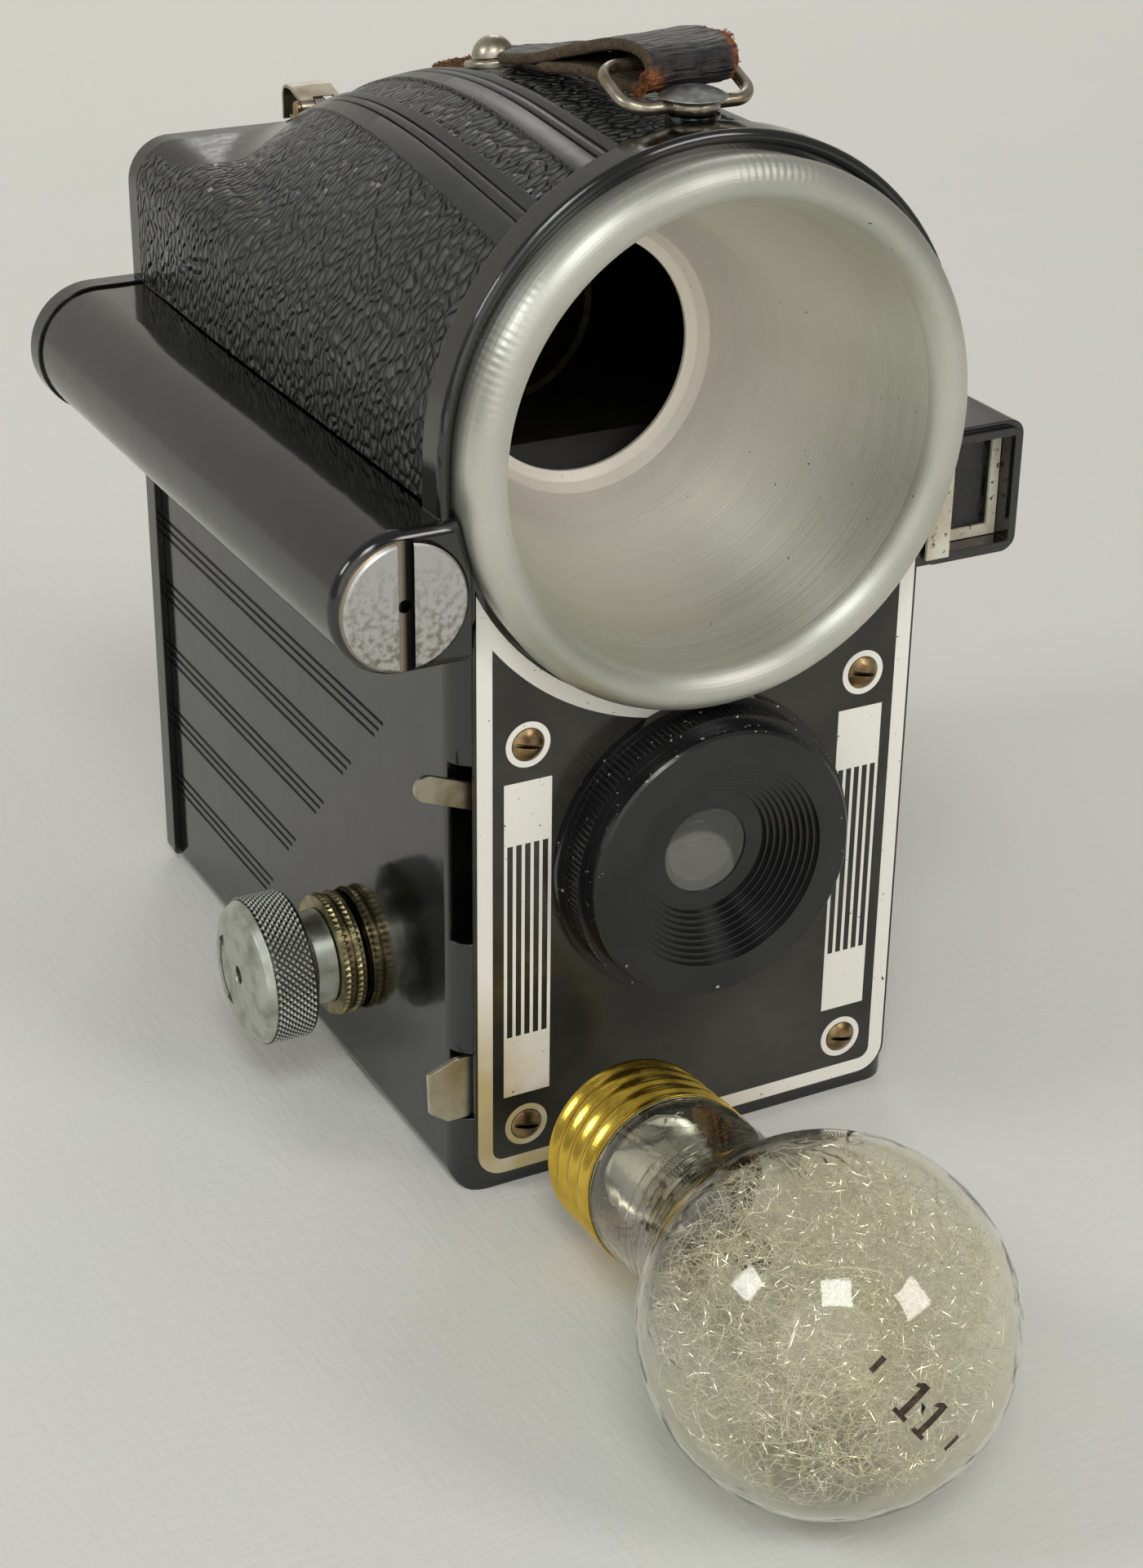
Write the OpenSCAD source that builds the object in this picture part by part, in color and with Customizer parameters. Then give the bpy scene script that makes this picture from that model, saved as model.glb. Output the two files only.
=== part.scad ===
// Black moulded box camera with a built-in flash: spun reflector above the lens,
// battery tube on the left, optical finder on the right, carrying strap on top,
// and the flash bulb that screws into it lying in front.
// Millimetres. +X is the right of the face, +Y the back, +Z up.
// The origin is the centre of the base face of the case.

/* [Case] */
// Depth of the case from its face to the back cover
body_d = 114; // [108:1:126]
// Wall thickness of the case
wall = 2.6; // [2:0.1:3]
// Room between the end of a film spool and the case's wall
side_room = 3.4; // [3:0.1:5]
// Distance that the crown stands out beyond the case's sides
crown_step = 1.1; // [0.4:0.1:2]
// Height of the centre of the crown's arch above the reflector's axis
crown_rise = 0.5; // [0:0.1:1]
// Radius of the long curve along which the crown falls to the back
crest_r = 207; // [190:1:300]
// Depth of the level front part of the crown
crest_level = 27; // [20:1:40]
// Height of the flat shoulders above the centre of the crown's arch
shoulder_h = 16.3; // [13:0.1:20]
// Corner radius of the shoulders
shoulder_r = 7; // [4:0.5:9]
// Fall of the shoulders towards the face, in degrees
shoulder_tilt = 3.5; // [2:0.5:5]
// Depth of the seam where the upper case starts below the centre of the crown's arch
seam_h = 6.2; // [5:0.1:8]
// Radius of the case's bottom edges
bottom_r = 2.5; // [1:0.5:4]
// Radius of the front upright corners
corner_r = 4.5; // [2:0.5:6]
// Thickness of the case's face round the reflector
face_t = 3; // [2.5:0.1:4]
// Width of the rounded lip round the reflector
lip_w = 1.9; // [1.5:0.1:2.5]
// Height that the lip stands in front of the face
lip_h = 1.3; // [0.8:0.1:2]
// Width of the moulded lines on the sides
line_w = 0.6; // [0.4:0.1:0.9]
// Depth of the moulded lines on the sides
line_t = 0.35; // [0.2:0.05:0.5]

/* [Shutter pocket] */
// Depth of the shutter pocket behind the front plate
pocket_t = 3.4; // [3.4:0.1:4]
// Thickness of the wall behind the shutter pocket
pocket_wall = 2.2; // [1.6:0.1:3]

/* [Front plate] */
// Width of the case's face left bare on each side of the front plate
plate_inset = 2.2; // [1.7:0.1:4]
// Thickness of the front plate
plate_t = 0.8; // [0.5:0.1:1]
// Height of the front plate's lower edge
plate_z0 = 2.3; // [1.5:0.1:4]
// Distance of the screws from the plate's side edges
screw_edge = 8.1; // [7:0.1:10]
// Height of the lower screws
screw_low = 10; // [9:0.5:11]
// Height of the upper screws above the lens axis
screw_rise = 21.2; // [20.8:0.1:21.5]
// Radius of the screw heads
screw_head_r = 2.4; // [2:0.1:2.8]
// Radius of the screw shanks
screw_r = 1.1; // [0.9:0.1:1.2]

/* [Lens] */
// Radius of the bezel's flange
bezel_r = 23; // [21.5:0.1:24]
// Height of the bezel in front of the plate
bezel_h = 8.3; // [6.5:0.1:9]
// Radius of the cone's mouth in the bezel
cone_r = 15.7; // [14:0.1:17]
// Depth of the cone in the bezel
cone_t = 5.4; // [4.5:0.1:5.5]
// Number of steps in the cone
cone_steps = 9; // [6:1:10]
// Radius of the clear glass
glass_r = 6.6; // [5:0.1:7]
// Thickness of the lens glass
glass_t = 1.7; // [1.2:0.1:2]
// Radius of the aperture
aperture_r = 3.6; // [2.5:0.1:4.5]

/* [Reflector] */
// Distance that the rolled rim stays inside the crown's outline
rim_inset = 0.2; // [0.1:0.1:1]
// Gap between the rim and the lens bezel
rim_gap = 0.4; // [0.3:0.1:2]
// Radius of the roll of the rim
roll_r = 2.9; // [2:0.1:3]
// Height of the rim's roll centre in front of the case's face
roll_y = 4.6; // [4:0.1:6]
// Radius of the bowl at its neck
neck_r = 20.3; // [18.6:0.1:21]
// Depth from the case's face to the neck
neck_y = 34.2; // [32:0.2:36]
// Radius of the hole in the neck
neck_hole_r = 17.6; // [16:0.1:18]
// Thickness of the spun aluminium
spun_t = 0.7; // [0.5:0.1:0.9]

/* [Battery tube] */
// Distance of the tube's axis from the case's side
tube_out = 8.8; // [8.3:0.1:10.8]
// Depth of the tube's axis below the reflector's axis
tube_drop = 15.5; // [14.5:0.5:16.5]
// Outer radius of the tube
tube_r = 10; // [9.8:0.1:10.8]
// Length that the tube stands in front of the case's face
tube_front = 2.8; // [2:0.1:4]
// Radius of the cells
cell_r = 7.1; // [6.5:0.1:7.1]
// Length of a cell without its nub
cell_l = 49; // [47:0.1:49.2]
// Radius of the cap's head
cap_r = 9.1; // [8.8:0.1:9.3]
// Pitch of the cap's thread
cap_pitch = 1.5; // [1:0.1:2]

/* [Finder] */
// Width of the finder's housing beyond the case's side
finder_out = 15; // [13:0.1:17]
// Depth of the finder's roof below the reflector's axis
finder_drop = 5.9; // [5.7:0.1:8]
// Height of the finder's housing
finder_h = 20; // [18:0.1:22]
// Thickness of the finder's walls
finder_wall = 2; // [1.6:0.1:2.2]
// Depth of the finder's mask behind its face
mask_y = 3.2; // [2.6:0.1:4]

/* [Film path] */
// Width of the picture
picture_w = 57; // [55:0.5:58]
// Height of the picture
picture_h = 81; // [78:0.5:82]
// Height of the picture's lower edge
picture_z0 = 9.5; // [9:0.1:12]
// Distance of the film from the case's rear edge
film_gap = 10; // [9.5:0.1:11]
// Half the length of a film spool
spool_half = 31.2; // [30.8:0.1:31.3]
// Radius of a spool's flanges
spool_r = 12.5; // [12:0.1:12.6]
// Radius of a spool's core
spool_core_r = 5.8; // [5:0.1:6.5]
// Radius of the bore through a spool
spool_bore_r = 3; // [2.8:0.1:3.2]
// Distance of the take-up spool's axis in front of the middle of the case
takeup_y = 16.8; // [15:0.1:18]
// Room under the take-up spool
takeup_room = 5.6; // [4:0.1:6]
// Distance of the supply spool's axis in front of the middle of the case
supply_y = 2; // [0:0.5:2.5]
// Room between the supply spool and the floor of the flash chamber
supply_room = 0.7; // [0.5:0.1:1.5]

/* [Winding knob] */
// Radius of the knob
knob_r = 11.1; // [10:0.1:12]
// Distance from the case's side to the knob's face
knob_out = 17.8; // [16:0.1:19]
// Length of the knurled part of the knob
knurl_l = 6.5; // [5:0.1:7]
// Radius of the brass flange
knob_flange_r = 9.3; // [8.5:0.1:10]
// Travel of the knob when it is pulled out
knob_pull = 3.4; // [3:0.1:3.8]

/* [Back cover] */
// Thickness of the back cover over its rim
cover_t = 5.2; // [4.6:0.1:6]
// Wall thickness of the back cover
cover_wall = 2.4; // [2:0.1:2.8]
// Height that the cover stands proud of the case's sides
cover_proud = 1.2; // [0.8:0.1:1.6]
// Length of the light-trap lip inside the case
trap_l = 2.5; // [2:0.1:3]
// Radius of the hinge pin
hinge_r = 1; // [0.8:0.1:1.1]
// Radius of the film-number window
window_r = 5.5; // [4:0.1:6.5]

/* [Strap] */
// Width of the leather strap
strap_w = 13.2; // [12:0.1:15]
// Thickness of the leather
strap_t = 1.6; // [1.2:0.1:2]
// How far the strap has slid along the ring
strap_slide = 1; // [0:0.1:1]
// Width of the wire ring
ring_w = 20.5; // [19:0.1:23]
// Length of the wire ring
ring_l = 9.8; // [9:0.1:13]
// Radius of the ring's wire
wire_r = 0.9; // [0.7:0.1:1]
// Distance of the ring's front bar from the case's face
bracket_y = 8; // [7:0.5:10]
// Distance of the rear rivet behind the middle of the case
rivet_y = 7.3; // [4:0.1:10]

/* [Flash bulb] */
// Radius of the bulb's globe
globe_r = 23.8; // [22.5:0.1:25]
// Wall thickness of the bulb's glass
bulb_wall = 0.6; // [0.5:0.1:0.9]
// Radius of the bulb's neck
bulb_neck_r = 12.9; // [12:0.1:13]
// Distance from the globe's centre to the brass shell
shell_s0 = 45.5; // [42:0.5:48]
// Length of the brass screw shell
shell_l = 16; // [14:0.5:18]
// Radius of the brass screw shell
shell_r = 13.1; // [12.9:0.1:13.2]
// Pitch of the shell's rolled thread
shell_pitch = 3.6; // [3:0.1:4]
// Distance of the globe's centre right of the middle of the case
bulb_x = -23; // [-30:0.5:-16]
// Distance of the globe's centre in front of the case's face
bulb_y = 75.4; // [74:0.1:80]
// Direction of the bulb's axis seen from above, in degrees
bulb_turn = 5; // [0:0.5:10]

/* [Hidden] */
$fn = 96;
eps = 0.01;
face_y = -body_d / 2;
back_y = body_d / 2;
in_x = spool_half + side_room;
half_w = in_x + wall;
body_w = 2 * half_w;
crown_r = half_w + crown_step;
rim_r = crown_r - rim_inset;
lens_z = picture_z0 + picture_h / 2;
reflector_z = lens_z + bezel_r + rim_r + rim_gap;
crown_z = reflector_z + crown_rise;
shoulder_z = crown_z + shoulder_h;
seam_z = crown_z - seam_h;
plate_w = body_w - 2 * plate_inset;
plate_z1 = reflector_z - rim_r / 2 + 0.25;
screw_x = plate_w / 2 - screw_edge;
screw_high = lens_z + screw_rise;
pocket_top = screw_high + 3.8;
film_y = back_y - film_gap;
takeup_z = wall + spool_r + takeup_room;
tube_x = half_w + tube_out;
tube_z = reflector_z - tube_drop;
finder_x = half_w + finder_out;
finder_z1 = reflector_z - finder_drop;
finder_z0 = finder_z1 - finder_h;
crest_y = face_y + crest_level;
crest_z = crown_z + crown_r - crest_r;
slack = 0.15;
run = 0.05;
pocket_y = face_y + pocket_t;
pocket_back = pocket_y + pocket_wall;
slot_z0 = lens_z - 8.8;
slot_z1 = screw_high - screw_r - 1.1;
plate_y = face_y - plate_t;
bezel_y = plate_y - bezel_h;
cone_back = bezel_y + cone_t;
cone_r1 = 9;
glass_seat_r = glass_r + 1;
lever_t = 0.8;
lever_y = face_y + 0.9;
blade_t = 0.5;
blade_y = lever_y + lever_t + 0.3;
shutter_t = 0.6;
shutter_y = pocket_y - shutter_t;
pivot_x = -8;
pivot_z = lens_z + 4;
pivot_r = 1.5;
lever_up = 21;
lever_reach = (half_w + pivot_x + 4.87) / cos(lever_up);
blade_px = 12;
blade_pz = lens_z + 12;
blade_pivot_r = 1.2;
time_z0 = 12.8;
time_z1 = 22.8;
time_bar = 5;
time_z = (time_z0 + time_z1) / 2;
roll_cy = face_y - roll_y;
roll_cr = rim_r - roll_r;
neck_cy = face_y + neck_y;
reflector_seat_r = rim_r - 0.4;
reflector_hole_r = rim_r - 3.2;
bead_r = reflector_z - crown_z + rim_r + lip_w + 0.5;
floor_slope = (roll_cr - roll_r + spun_t - neck_r) / (neck_cy - roll_cy);
rim_room = 0.2;
socket_z = reflector_z;
socket_y0 = neck_cy + 26.3;
socket_l = 20.5;
socket_y1 = socket_y0 + socket_l;
socket_wall = 0.7;
socket_r = shell_r + 0.4;
socket_base_t = 6;
socket_base_r = 16;
floor_t = 0.5;
floor_z = reflector_z - socket_r - socket_wall - floor_t - 0.6;
supply_z = floor_z - supply_room - spool_r;
frame_t = 0.6;
frame_x = spool_half + 1.8;
frame_in = frame_x - frame_t;
ledge_x = frame_x + 0.2;
gate_z0 = lens_z - picture_h / 2 - 1.6;
gate_z1 = lens_z + picture_h / 2 + 0.6;
guide_r = 2;
shaft_r = spool_bore_r - 0.1;
key_t = 1.2;
key_w = 4.2;
key_l = knob_pull - 0.8;
key_recess = max(0.3, knob_pull + 0.3 - (in_x - spool_half - 0.2));
spool_t = 0.8;
tube_bore_r = cell_r + 0.5;
cap_thread_r = cap_r - 0.5;
cap_thread_l = 4.4;
cap_head_t = 1.2;
tube_y0 = face_y - tube_front;
cell_end = back_y - 7;
nub_l = 1.2;
cell_pitch = cell_l + nub_l + 0.1;
finder_in_x = finder_x - finder_wall - 11;
finder_face = face_y - 1.3;
cover_y0 = back_y + slack;
cover_y1 = back_y + cover_t;
cover_in = cover_y1 - cover_wall;
cover_x = half_w + cover_proud;
cover_z0 = 0.6;
hinge_y = back_y + 3;
hinge_z = 2.8;
knuckle_r = 2.3;
knuckles = [[-half_w + 7.2, -half_w + 13.2], [half_w - 13.2, half_w - 7.2]];
pin_x = half_w - 6.2;
window_z = lens_z - 20;
knuckle_gap = 0.3;
latch_x0 = -12;
latch_x1 = -3.6;
latch_t = 0.5;
latch_y = back_y - 2.3;
latch_z = shoulder_z + 3.5;
latch_r = 0.6;
latch_seat = latch_z - 1.4;
knuckle_out = 1.25;
latch_end = cover_y1 - 0.2;
latch_top = latch_z + 2.6;
ring_x = 1;
ring_y = face_y + bracket_y;
ring_z = crown_z + crown_r + 3;
ring_tilt = 22;
ring_end_y = ring_y + ring_l * cos(ring_tilt);
ring_end_z = ring_z + ring_l * sin(ring_tilt);
loop_r = wire_r + 1.1;
eye_r = wire_r + 1.7;
rivet_z = crest_z + sqrt(pow(crest_r, 2) - pow(rivet_y - crest_y, 2));
rivet_slope = asin((rivet_y - crest_y) / crest_r);
stub_l = 16;
strap_lift = 1.1 + strap_t / 2;
strap_a = [rivet_y + 3.8 * cos(rivet_slope) + strap_lift * sin(rivet_slope),
    rivet_z - 3.8 * sin(rivet_slope) + strap_lift * cos(rivet_slope)];
strap_b = [rivet_y - 4.4 * cos(rivet_slope) + strap_lift * sin(rivet_slope),
    rivet_z + 4.4 * sin(rivet_slope) + strap_lift * cos(rivet_slope)];
strap_loop = [ring_end_y - 3.3, ring_end_z + 1.2];
strap_loop_r = loop_r + strap_t / 2;
loop_from = 74.5;
loop_start = strap_loop + strap_loop_r * [cos(loop_from), sin(loop_from)];
strap_run = strap_b.x - loop_start.x;
strap_rise = loop_start.y - strap_b.y;
tail_l = 28;
tail_drop = 3.6;
// Middle line of the strap in Y and Z: over the rivet, up to the ring, round its rear bar, back under
strap_mid = concat([strap_a],
    [for (t = [0:0.1:0.95]) [strap_b.x - strap_run * t, strap_b.y
        + strap_run * tan(rivet_slope) * (t - 2 * t * t + t * t * t) + strap_rise * t * t * (3 - 2 * t)
        + strap_run * tan(90 - loop_from) * (t * t * t - t * t)]],
    [for (a = [loop_from:11.5:269]) strap_loop + strap_loop_r * [cos(a), sin(a)]],
    [for (t = [0:0.125:1]) strap_loop + [tail_l * t, -strap_loop_r - tail_drop * t]]);
line_tops = [for (h = [15.6, 4.1, -7.5, -19.6, -31.9]) lens_z + h];
line_ends = [-31, -19, -8, 4, 14.5];
line_gap = 1.55;
globe_y = face_y - bulb_y;
crest_s = shell_s0 + 4 * shell_pitch;
bulb_tilt = asin(globe_r / norm([crest_s, shell_r])) - atan2(shell_r, crest_s);
plug_r = shell_r - 1.4;
foil_t = 0.4;
insulator_l = 2.8;
tip_l = 1.4;

// An outline in X and Z, drawn out along Y from y0 to y1
module along_y(y0, y1) {
    translate([0, y1, 0]) rotate([90, 0, 0]) linear_extrude(y1 - y0) children();
}

// An outline in Y and Z, drawn out along X from x0 to x1
module along_x(x0, x1) {
    translate([x0, 0, 0]) rotate([90, 0, 90]) linear_extrude(x1 - x0) children();
}

// A round bar along Y through x, z
module bar_y(x, z, y0, y1, r) {
    translate([x, y1, z]) rotate([90, 0, 0]) cylinder(r = r, h = y1 - y0);
}

// A round bar along X through y, z
module bar_x(y, z, x0, x1, r) {
    translate([x0, y, z]) rotate([0, 90, 0]) cylinder(r = r, h = x1 - x0);
}

// A turned shape on an axis along Y; its outline holds radius and Y
module turned_y(x, z) {
    translate([x, 0, z]) rotate([-90, 0, 0]) rotate_extrude() children();
}

// A turned shape on an axis along X; its outline holds radius and X
module turned_x(y, z) {
    translate([0, y, z]) rotate([0, 90, 0]) rotate_extrude() children();
}

// A box between two opposite corners
module block(a, b) {
    translate(a) cube(b - a);
}

// A rectangle from x0, z0 to x1, z1 with round corners
module round_rect(x0, z0, x1, z1, r) {
    translate([x0 + r, z0]) square([x1 - x0 - 2 * r, z1 - z0]);
    translate([x0, z0 + r]) square([x1 - x0, z1 - z0 - 2 * r]);
    for (x = [x0 + r, x1 - r], z = [z0 + r, z1 - r]) translate([x, z]) circle(r);
}

// Outline of the case below the seam, drawn in by d
module lower_outline(d) {
    r = max(bottom_r - d, 0.6);
    translate([-half_w + d + r, d]) square([body_w - 2 * d - 2 * r, seam_z - d]);
    translate([-half_w + d, d + r]) square([body_w - 2 * d, seam_z - d - r + eps]);
    for (x = [-half_w + d + r, half_w - d - r]) translate([x, d + r]) circle(r);
}

// Outline of the arched crown, drawn in by d
module crown_outline(d) {
    intersection() {
        translate([0, crown_z]) circle(crown_r - d);
        translate([-crown_r, seam_z]) square([2 * crown_r, 2 * crown_r]);
    }
    translate([-crown_r + d, seam_z]) square([2 * (crown_r - d), crown_z - seam_z]);
}

// The crown where it falls away along its long curve, drawn in by d
module crown_fall(d, y_end) {
    intersection() {
        translate([0, crest_y, crest_z]) rotate([0, -90, 0]) rotate_extrude(angle = 35, $fn = 192)
            translate([crest_r - crown_r, 0]) circle(crown_r - d);
        block([-crown_r, crest_y - 1, seam_z], [crown_r, y_end, crown_z + crown_r + 1]);
    }
}

// The square shoulders that rise out of the crown towards the back, drawn in by d
module shoulders(d, y_end) {
    intersection() {
        translate([0, back_y, shoulder_z]) rotate([shoulder_tilt, 0, 0])
            along_y(-body_d + crest_level, 6)
                round_rect(-crown_r + d, -40, crown_r - d, -d, shoulder_r - d);
        block([-crown_r, crest_y, seam_z], [crown_r, y_end, shoulder_z + 1]);
    }
}

// The whole form of the case, drawn in by d
module case_form(d, y0, y1, y_crown) {
    along_y(y0, y1) lower_outline(d);
    along_y(y0, crest_y) crown_outline(d);
    block([-crown_r + d, crest_y - eps, seam_z], [crown_r - d, y1, crown_z - 6]);
    crown_fall(d, y_crown);
    shoulders(d, y1);
}

// Plan of the case that rounds its front upright corners
module corner_plan() {
    translate([-half_w + corner_r, face_y]) square([body_w - 2 * corner_r, body_d]);
    translate([-half_w, face_y + corner_r]) square([body_w, body_d - corner_r]);
    for (x = [-1, 1]) translate([x * (half_w - corner_r), face_y + corner_r]) circle(corner_r);
}

// Round-edged lip that frames the reflector on the face
module face_lip() {
    r = lip_w / 2;
    y0 = face_y - lip_h;
    intersection() {
        turned_y(0, crown_z) {
            translate([bead_r - lip_w, y0 + r]) square([lip_w, lip_h + 4 - r]);
            translate([bead_r - r, y0 + r]) circle(r);
        }
        block([-50, y0, crown_z], [50, face_y + 4, crown_z + 50]);
    }
    for (s = [-1, 1]) {
        block([s * (bead_r - r) - r, y0 + r, seam_z - 1], [s * (bead_r - r) + r, face_y + 4, crown_z]);
        translate([s * (bead_r - r), y0 + r, seam_z - 1]) cylinder(r = r, h = crown_z - seam_z + 1);
    }
}

// Outside of the battery tube: round outwards, square where it joins the case
module tube_form(grow, y0, y1) {
    r = tube_r + grow;
    bar_y(-tube_x, tube_z, y0, y1, r);
    block([-tube_x, y0, tube_z - r], [-half_w + 1, y1, tube_z + r]);
}

// Front end of the battery tube with its round edge
module tube_nose() {
    e = 1.6;
    turned_y(-tube_x, tube_z) {
        translate([0, tube_y0]) square([tube_r - e, e + 1]);
        translate([0, tube_y0 + e]) square([tube_r, 1]);
        translate([tube_r - e, tube_y0 + e]) circle(e);
    }
    along_x(-tube_x, -half_w + 1) {
        translate([tube_y0, tube_z - tube_r + e]) square([e + 1, 2 * (tube_r - e)]);
        translate([tube_y0 + e, tube_z - tube_r]) square([1, 2 * tube_r]);
        for (s = [-1, 1]) translate([tube_y0 + e, tube_z + s * (tube_r - e)]) circle(e);
    }
}

// Outside of the finder's housing
module finder_form(grow, y0, y1) {
    along_y(y0, y1) round_rect(half_w - 1.2, finder_z0 - grow, finder_x + grow, finder_z1 + grow, 2.4);
    block([half_w - corner_r - 1, face_y, finder_z0 - grow], [half_w + 2.4, y1, finder_z1 + grow]);
}

// Moulded lines on both sides: five groups of three, each a little shorter than the one above
module side_lines() {
    for (i = [0:len(line_tops) - 1], k = [0:2], s = [-1, 1]) {
        z = line_tops[i] - k * line_gap;
        y = line_ends[i] + (k - 1) * line_gap;
        block([s * half_w - line_t, y, z - line_w / 2], [s * half_w + line_t, back_y + 1, z + line_w / 2]);
    }
}

module body_shell() color([0.05, 0.05, 0.06]) difference() {
    union() {
        difference() {
            union() {
                intersection() {
                    case_form(0, face_y, back_y, back_y);
                    union() {
                        linear_extrude(seam_z + 1) corner_plan();
                        block([-60, face_y, seam_z], [60, back_y, 160]);
                    }
                }
                face_lip();
                tube_form(0, tube_y0 + 2.6, back_y);
                tube_nose();
                finder_form(0, finder_face + 1, back_y);
                along_y(finder_face, finder_face + 1 + eps)
                    round_rect(half_w - 1.2, finder_z0 + 0.8, finder_x - 0.8, finder_z1 - 0.8, 1.8);
            }
            case_form(wall, face_y + face_t, back_y + 1, back_y - wall);
        }
        // Thick part of the face that holds the shutter pocket
        block([-in_x, face_y + face_t - eps, wall - eps], [in_x, pocket_back, pocket_top]);
        // Ledges that carry the floor of the flash chamber
        for (s = [-1, 1])
            block([s * (ledge_x + in_x + eps) / 2 - (in_x - ledge_x) / 2, neck_cy + 10, floor_z - 1],
                [s * (ledge_x + in_x + eps) / 2 + (in_x - ledge_x) / 2, back_y - trap_l - 1, floor_z]);
        // Hinge knuckles and the feet that join them to the floor of the case
        for (k = knuckles) {
            bar_x(hinge_y, hinge_z, k[0], k[1], knuckle_r);
            block([k[0], back_y - 1, hinge_z - knuckle_r], [k[1], hinge_y, hinge_z]);
        }
    }
    side_lines();
    // Room for the reflector's rim and the hole behind it
    bar_y(0, reflector_z, tube_y0 - 5, face_y, rim_r + rim_room);
    bar_y(0, reflector_z, face_y - 1, face_y + face_t + 4, reflector_hole_r);
    // Pocket for the shutter, with channels for its two levers
    block([-18, face_y - 1, lens_z - 16], [19, pocket_y, slot_z1]);
    block([-half_w - 1, face_y - 1, slot_z0], [-17, pocket_y, slot_z1]);
    block([-half_w - 1, face_y - 1, time_z0 - 0.5], [-half_w + 3.2, pocket_y, time_z1 + 0.5]);
    block([-half_w, face_y - 1, time_z - time_bar / 2 - 0.2], [-12, pocket_y, time_z + time_bar / 2 + 0.2]);
    bar_y(0, lens_z, face_y - 1, pocket_back + 1, 9.2);
    for (x = [-screw_x, screw_x], z = [screw_low, screw_high])
        bar_y(x, z, face_y - 1, face_y + 7, screw_r + run);
    // Battery chamber with its thread recess and the way in for the contact strip
    bar_y(-tube_x, tube_z, tube_y0 + 6, cell_end, tube_bore_r);
    bar_y(-tube_x, tube_z, tube_y0 - 1, tube_y0 + 6.4, cap_thread_r + 0.1);
    block([-tube_x + 2, cell_end - 1.8, tube_z + 1.6], [-in_x + 2, cell_end, tube_z + 5.4]);
    // Sight tunnel of the finder
    block([finder_in_x, finder_face - 1, finder_z0 + finder_wall],
        [finder_x - finder_wall, back_y + 1, finder_z1 - finder_wall]);
    // Seat of the latch's foot
    block([latch_x0, latch_y - 1.6, latch_seat - 0.8], [latch_x1, back_y + 1, crown_z + 30]);
    // Bearing of the winding shaft
    bar_x(-takeup_y, takeup_z, -half_w - 1, -in_x + 1, shaft_r + run);
    bar_x(-takeup_y, takeup_z, -in_x - key_recess, -in_x + 1, key_w + 0.3);
    // Bore of the hinge knuckles
    bar_x(hinge_y, hinge_z, -40, 40, hinge_r);
    // Holes of the strap's rivets
    bar_z(ring_x, ring_y, crown_z + 20, crown_z + 60, 1.25);
    translate([0, rivet_y, rivet_z]) rotate([-rivet_slope, 0, 0]) translate([0, 0, -8])
        cylinder(r = 1.2, h = 12);
}

// A round bar along Z through x, y
module bar_z(x, y, z0, z1, r) {
    translate([x, y, z0]) cylinder(r = r, h = z1 - z0);
}

// Outline of the back cover, drawn in by d
module cover_outline(d) {
    round_rect(-cover_x + d, cover_z0 + d, cover_x - d, shoulder_z - d, max(shoulder_r - d, 1));
    round_rect(-cover_x + d, cover_z0 + d, cover_x - d, shoulder_z / 2, max(bottom_r - d, 0.6));
    translate([-tube_x, tube_z]) circle(tube_r + 0.4 - d);
    translate([-tube_x, tube_z - tube_r - 0.4 + d]) square([tube_x - half_w + 3, 2 * (tube_r + 0.4 - d)]);
    round_rect(half_w - 4, finder_z0 - 0.4 + d, finder_x + 0.4 - d, finder_z1 + 0.4 - d, max(2.4 - d, 0.6));
}

// Light-trap lip of the back cover, which enters the case
module trap_outline(d) {
    round_rect(-in_x + 0.3 + d, wall + 4 + d, in_x - 0.3 - d, shoulder_z - wall - 0.5 - d, 4 - d);
}

module back_cover() color([0.05, 0.05, 0.06]) difference() {
    union() {
        difference() {
            union() {
                along_y(cover_y0, cover_y1 - 1.2) cover_outline(0);
                along_y(cover_y1 - 1.2 - eps, cover_y1) cover_outline(0.8);
            }
            along_y(cover_y0 - 1, cover_in) cover_outline(cover_wall);
        }
        difference() {
            along_y(back_y - trap_l, cover_in + eps) trap_outline(0);
            along_y(back_y - trap_l - 1, cover_in) trap_outline(1.4);
        }
        // Wall round the finder's eyepiece
        block([finder_in_x - 1, cover_y0, finder_z0 + 1.6],
            [finder_x - 1.6, cover_in + 1, finder_z1 - 1.6]);
    }
    // Lower edge, cut back to turn round the hinge pin
    difference() {
        block([-60, cover_y0 - 1, -1], [60, cover_y1 + 1, hinge_z]);
        bar_x(hinge_y, hinge_z, -60, 60, knuckle_r - 0.1);
    }
    for (k = knuckles) {
        bar_x(hinge_y, hinge_z, k[0] - knuckle_gap, k[1] + knuckle_gap, knuckle_r + 0.4);
        block([k[0] - knuckle_gap, cover_y0 - 1, -1], [k[1] + knuckle_gap, hinge_y, hinge_z]);
    }
    bar_x(hinge_y, hinge_z, -pin_x, pin_x, hinge_r + run);
    // Film-number window
    bar_y(0, window_z, cover_y0, cover_y1 + 1, window_r);
    bar_y(0, window_z, cover_y0, cover_in + 0.6, window_r + 1.6);
    // Eyepiece of the finder
    block([finder_in_x + 1, cover_y0 - 1, finder_z0 + 3.4],
        [finder_x - 3.4, cover_y0 + 3, finder_z1 - 3.4]);
    block([finder_in_x + 2.5, cover_y0, finder_z0 + 5.2],
        [finder_x - 4.9, cover_y1 + 1, finder_z1 - 5.2]);
}

module hinge_pin() color("silver") bar_x(hinge_y, hinge_z, -pin_x, pin_x, hinge_r);

module cover_window() color([0.6, 0.05, 0.05])
    bar_y(0, window_z, cover_in - 0.2, cover_in + 0.6, window_r + 1.5);

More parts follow.
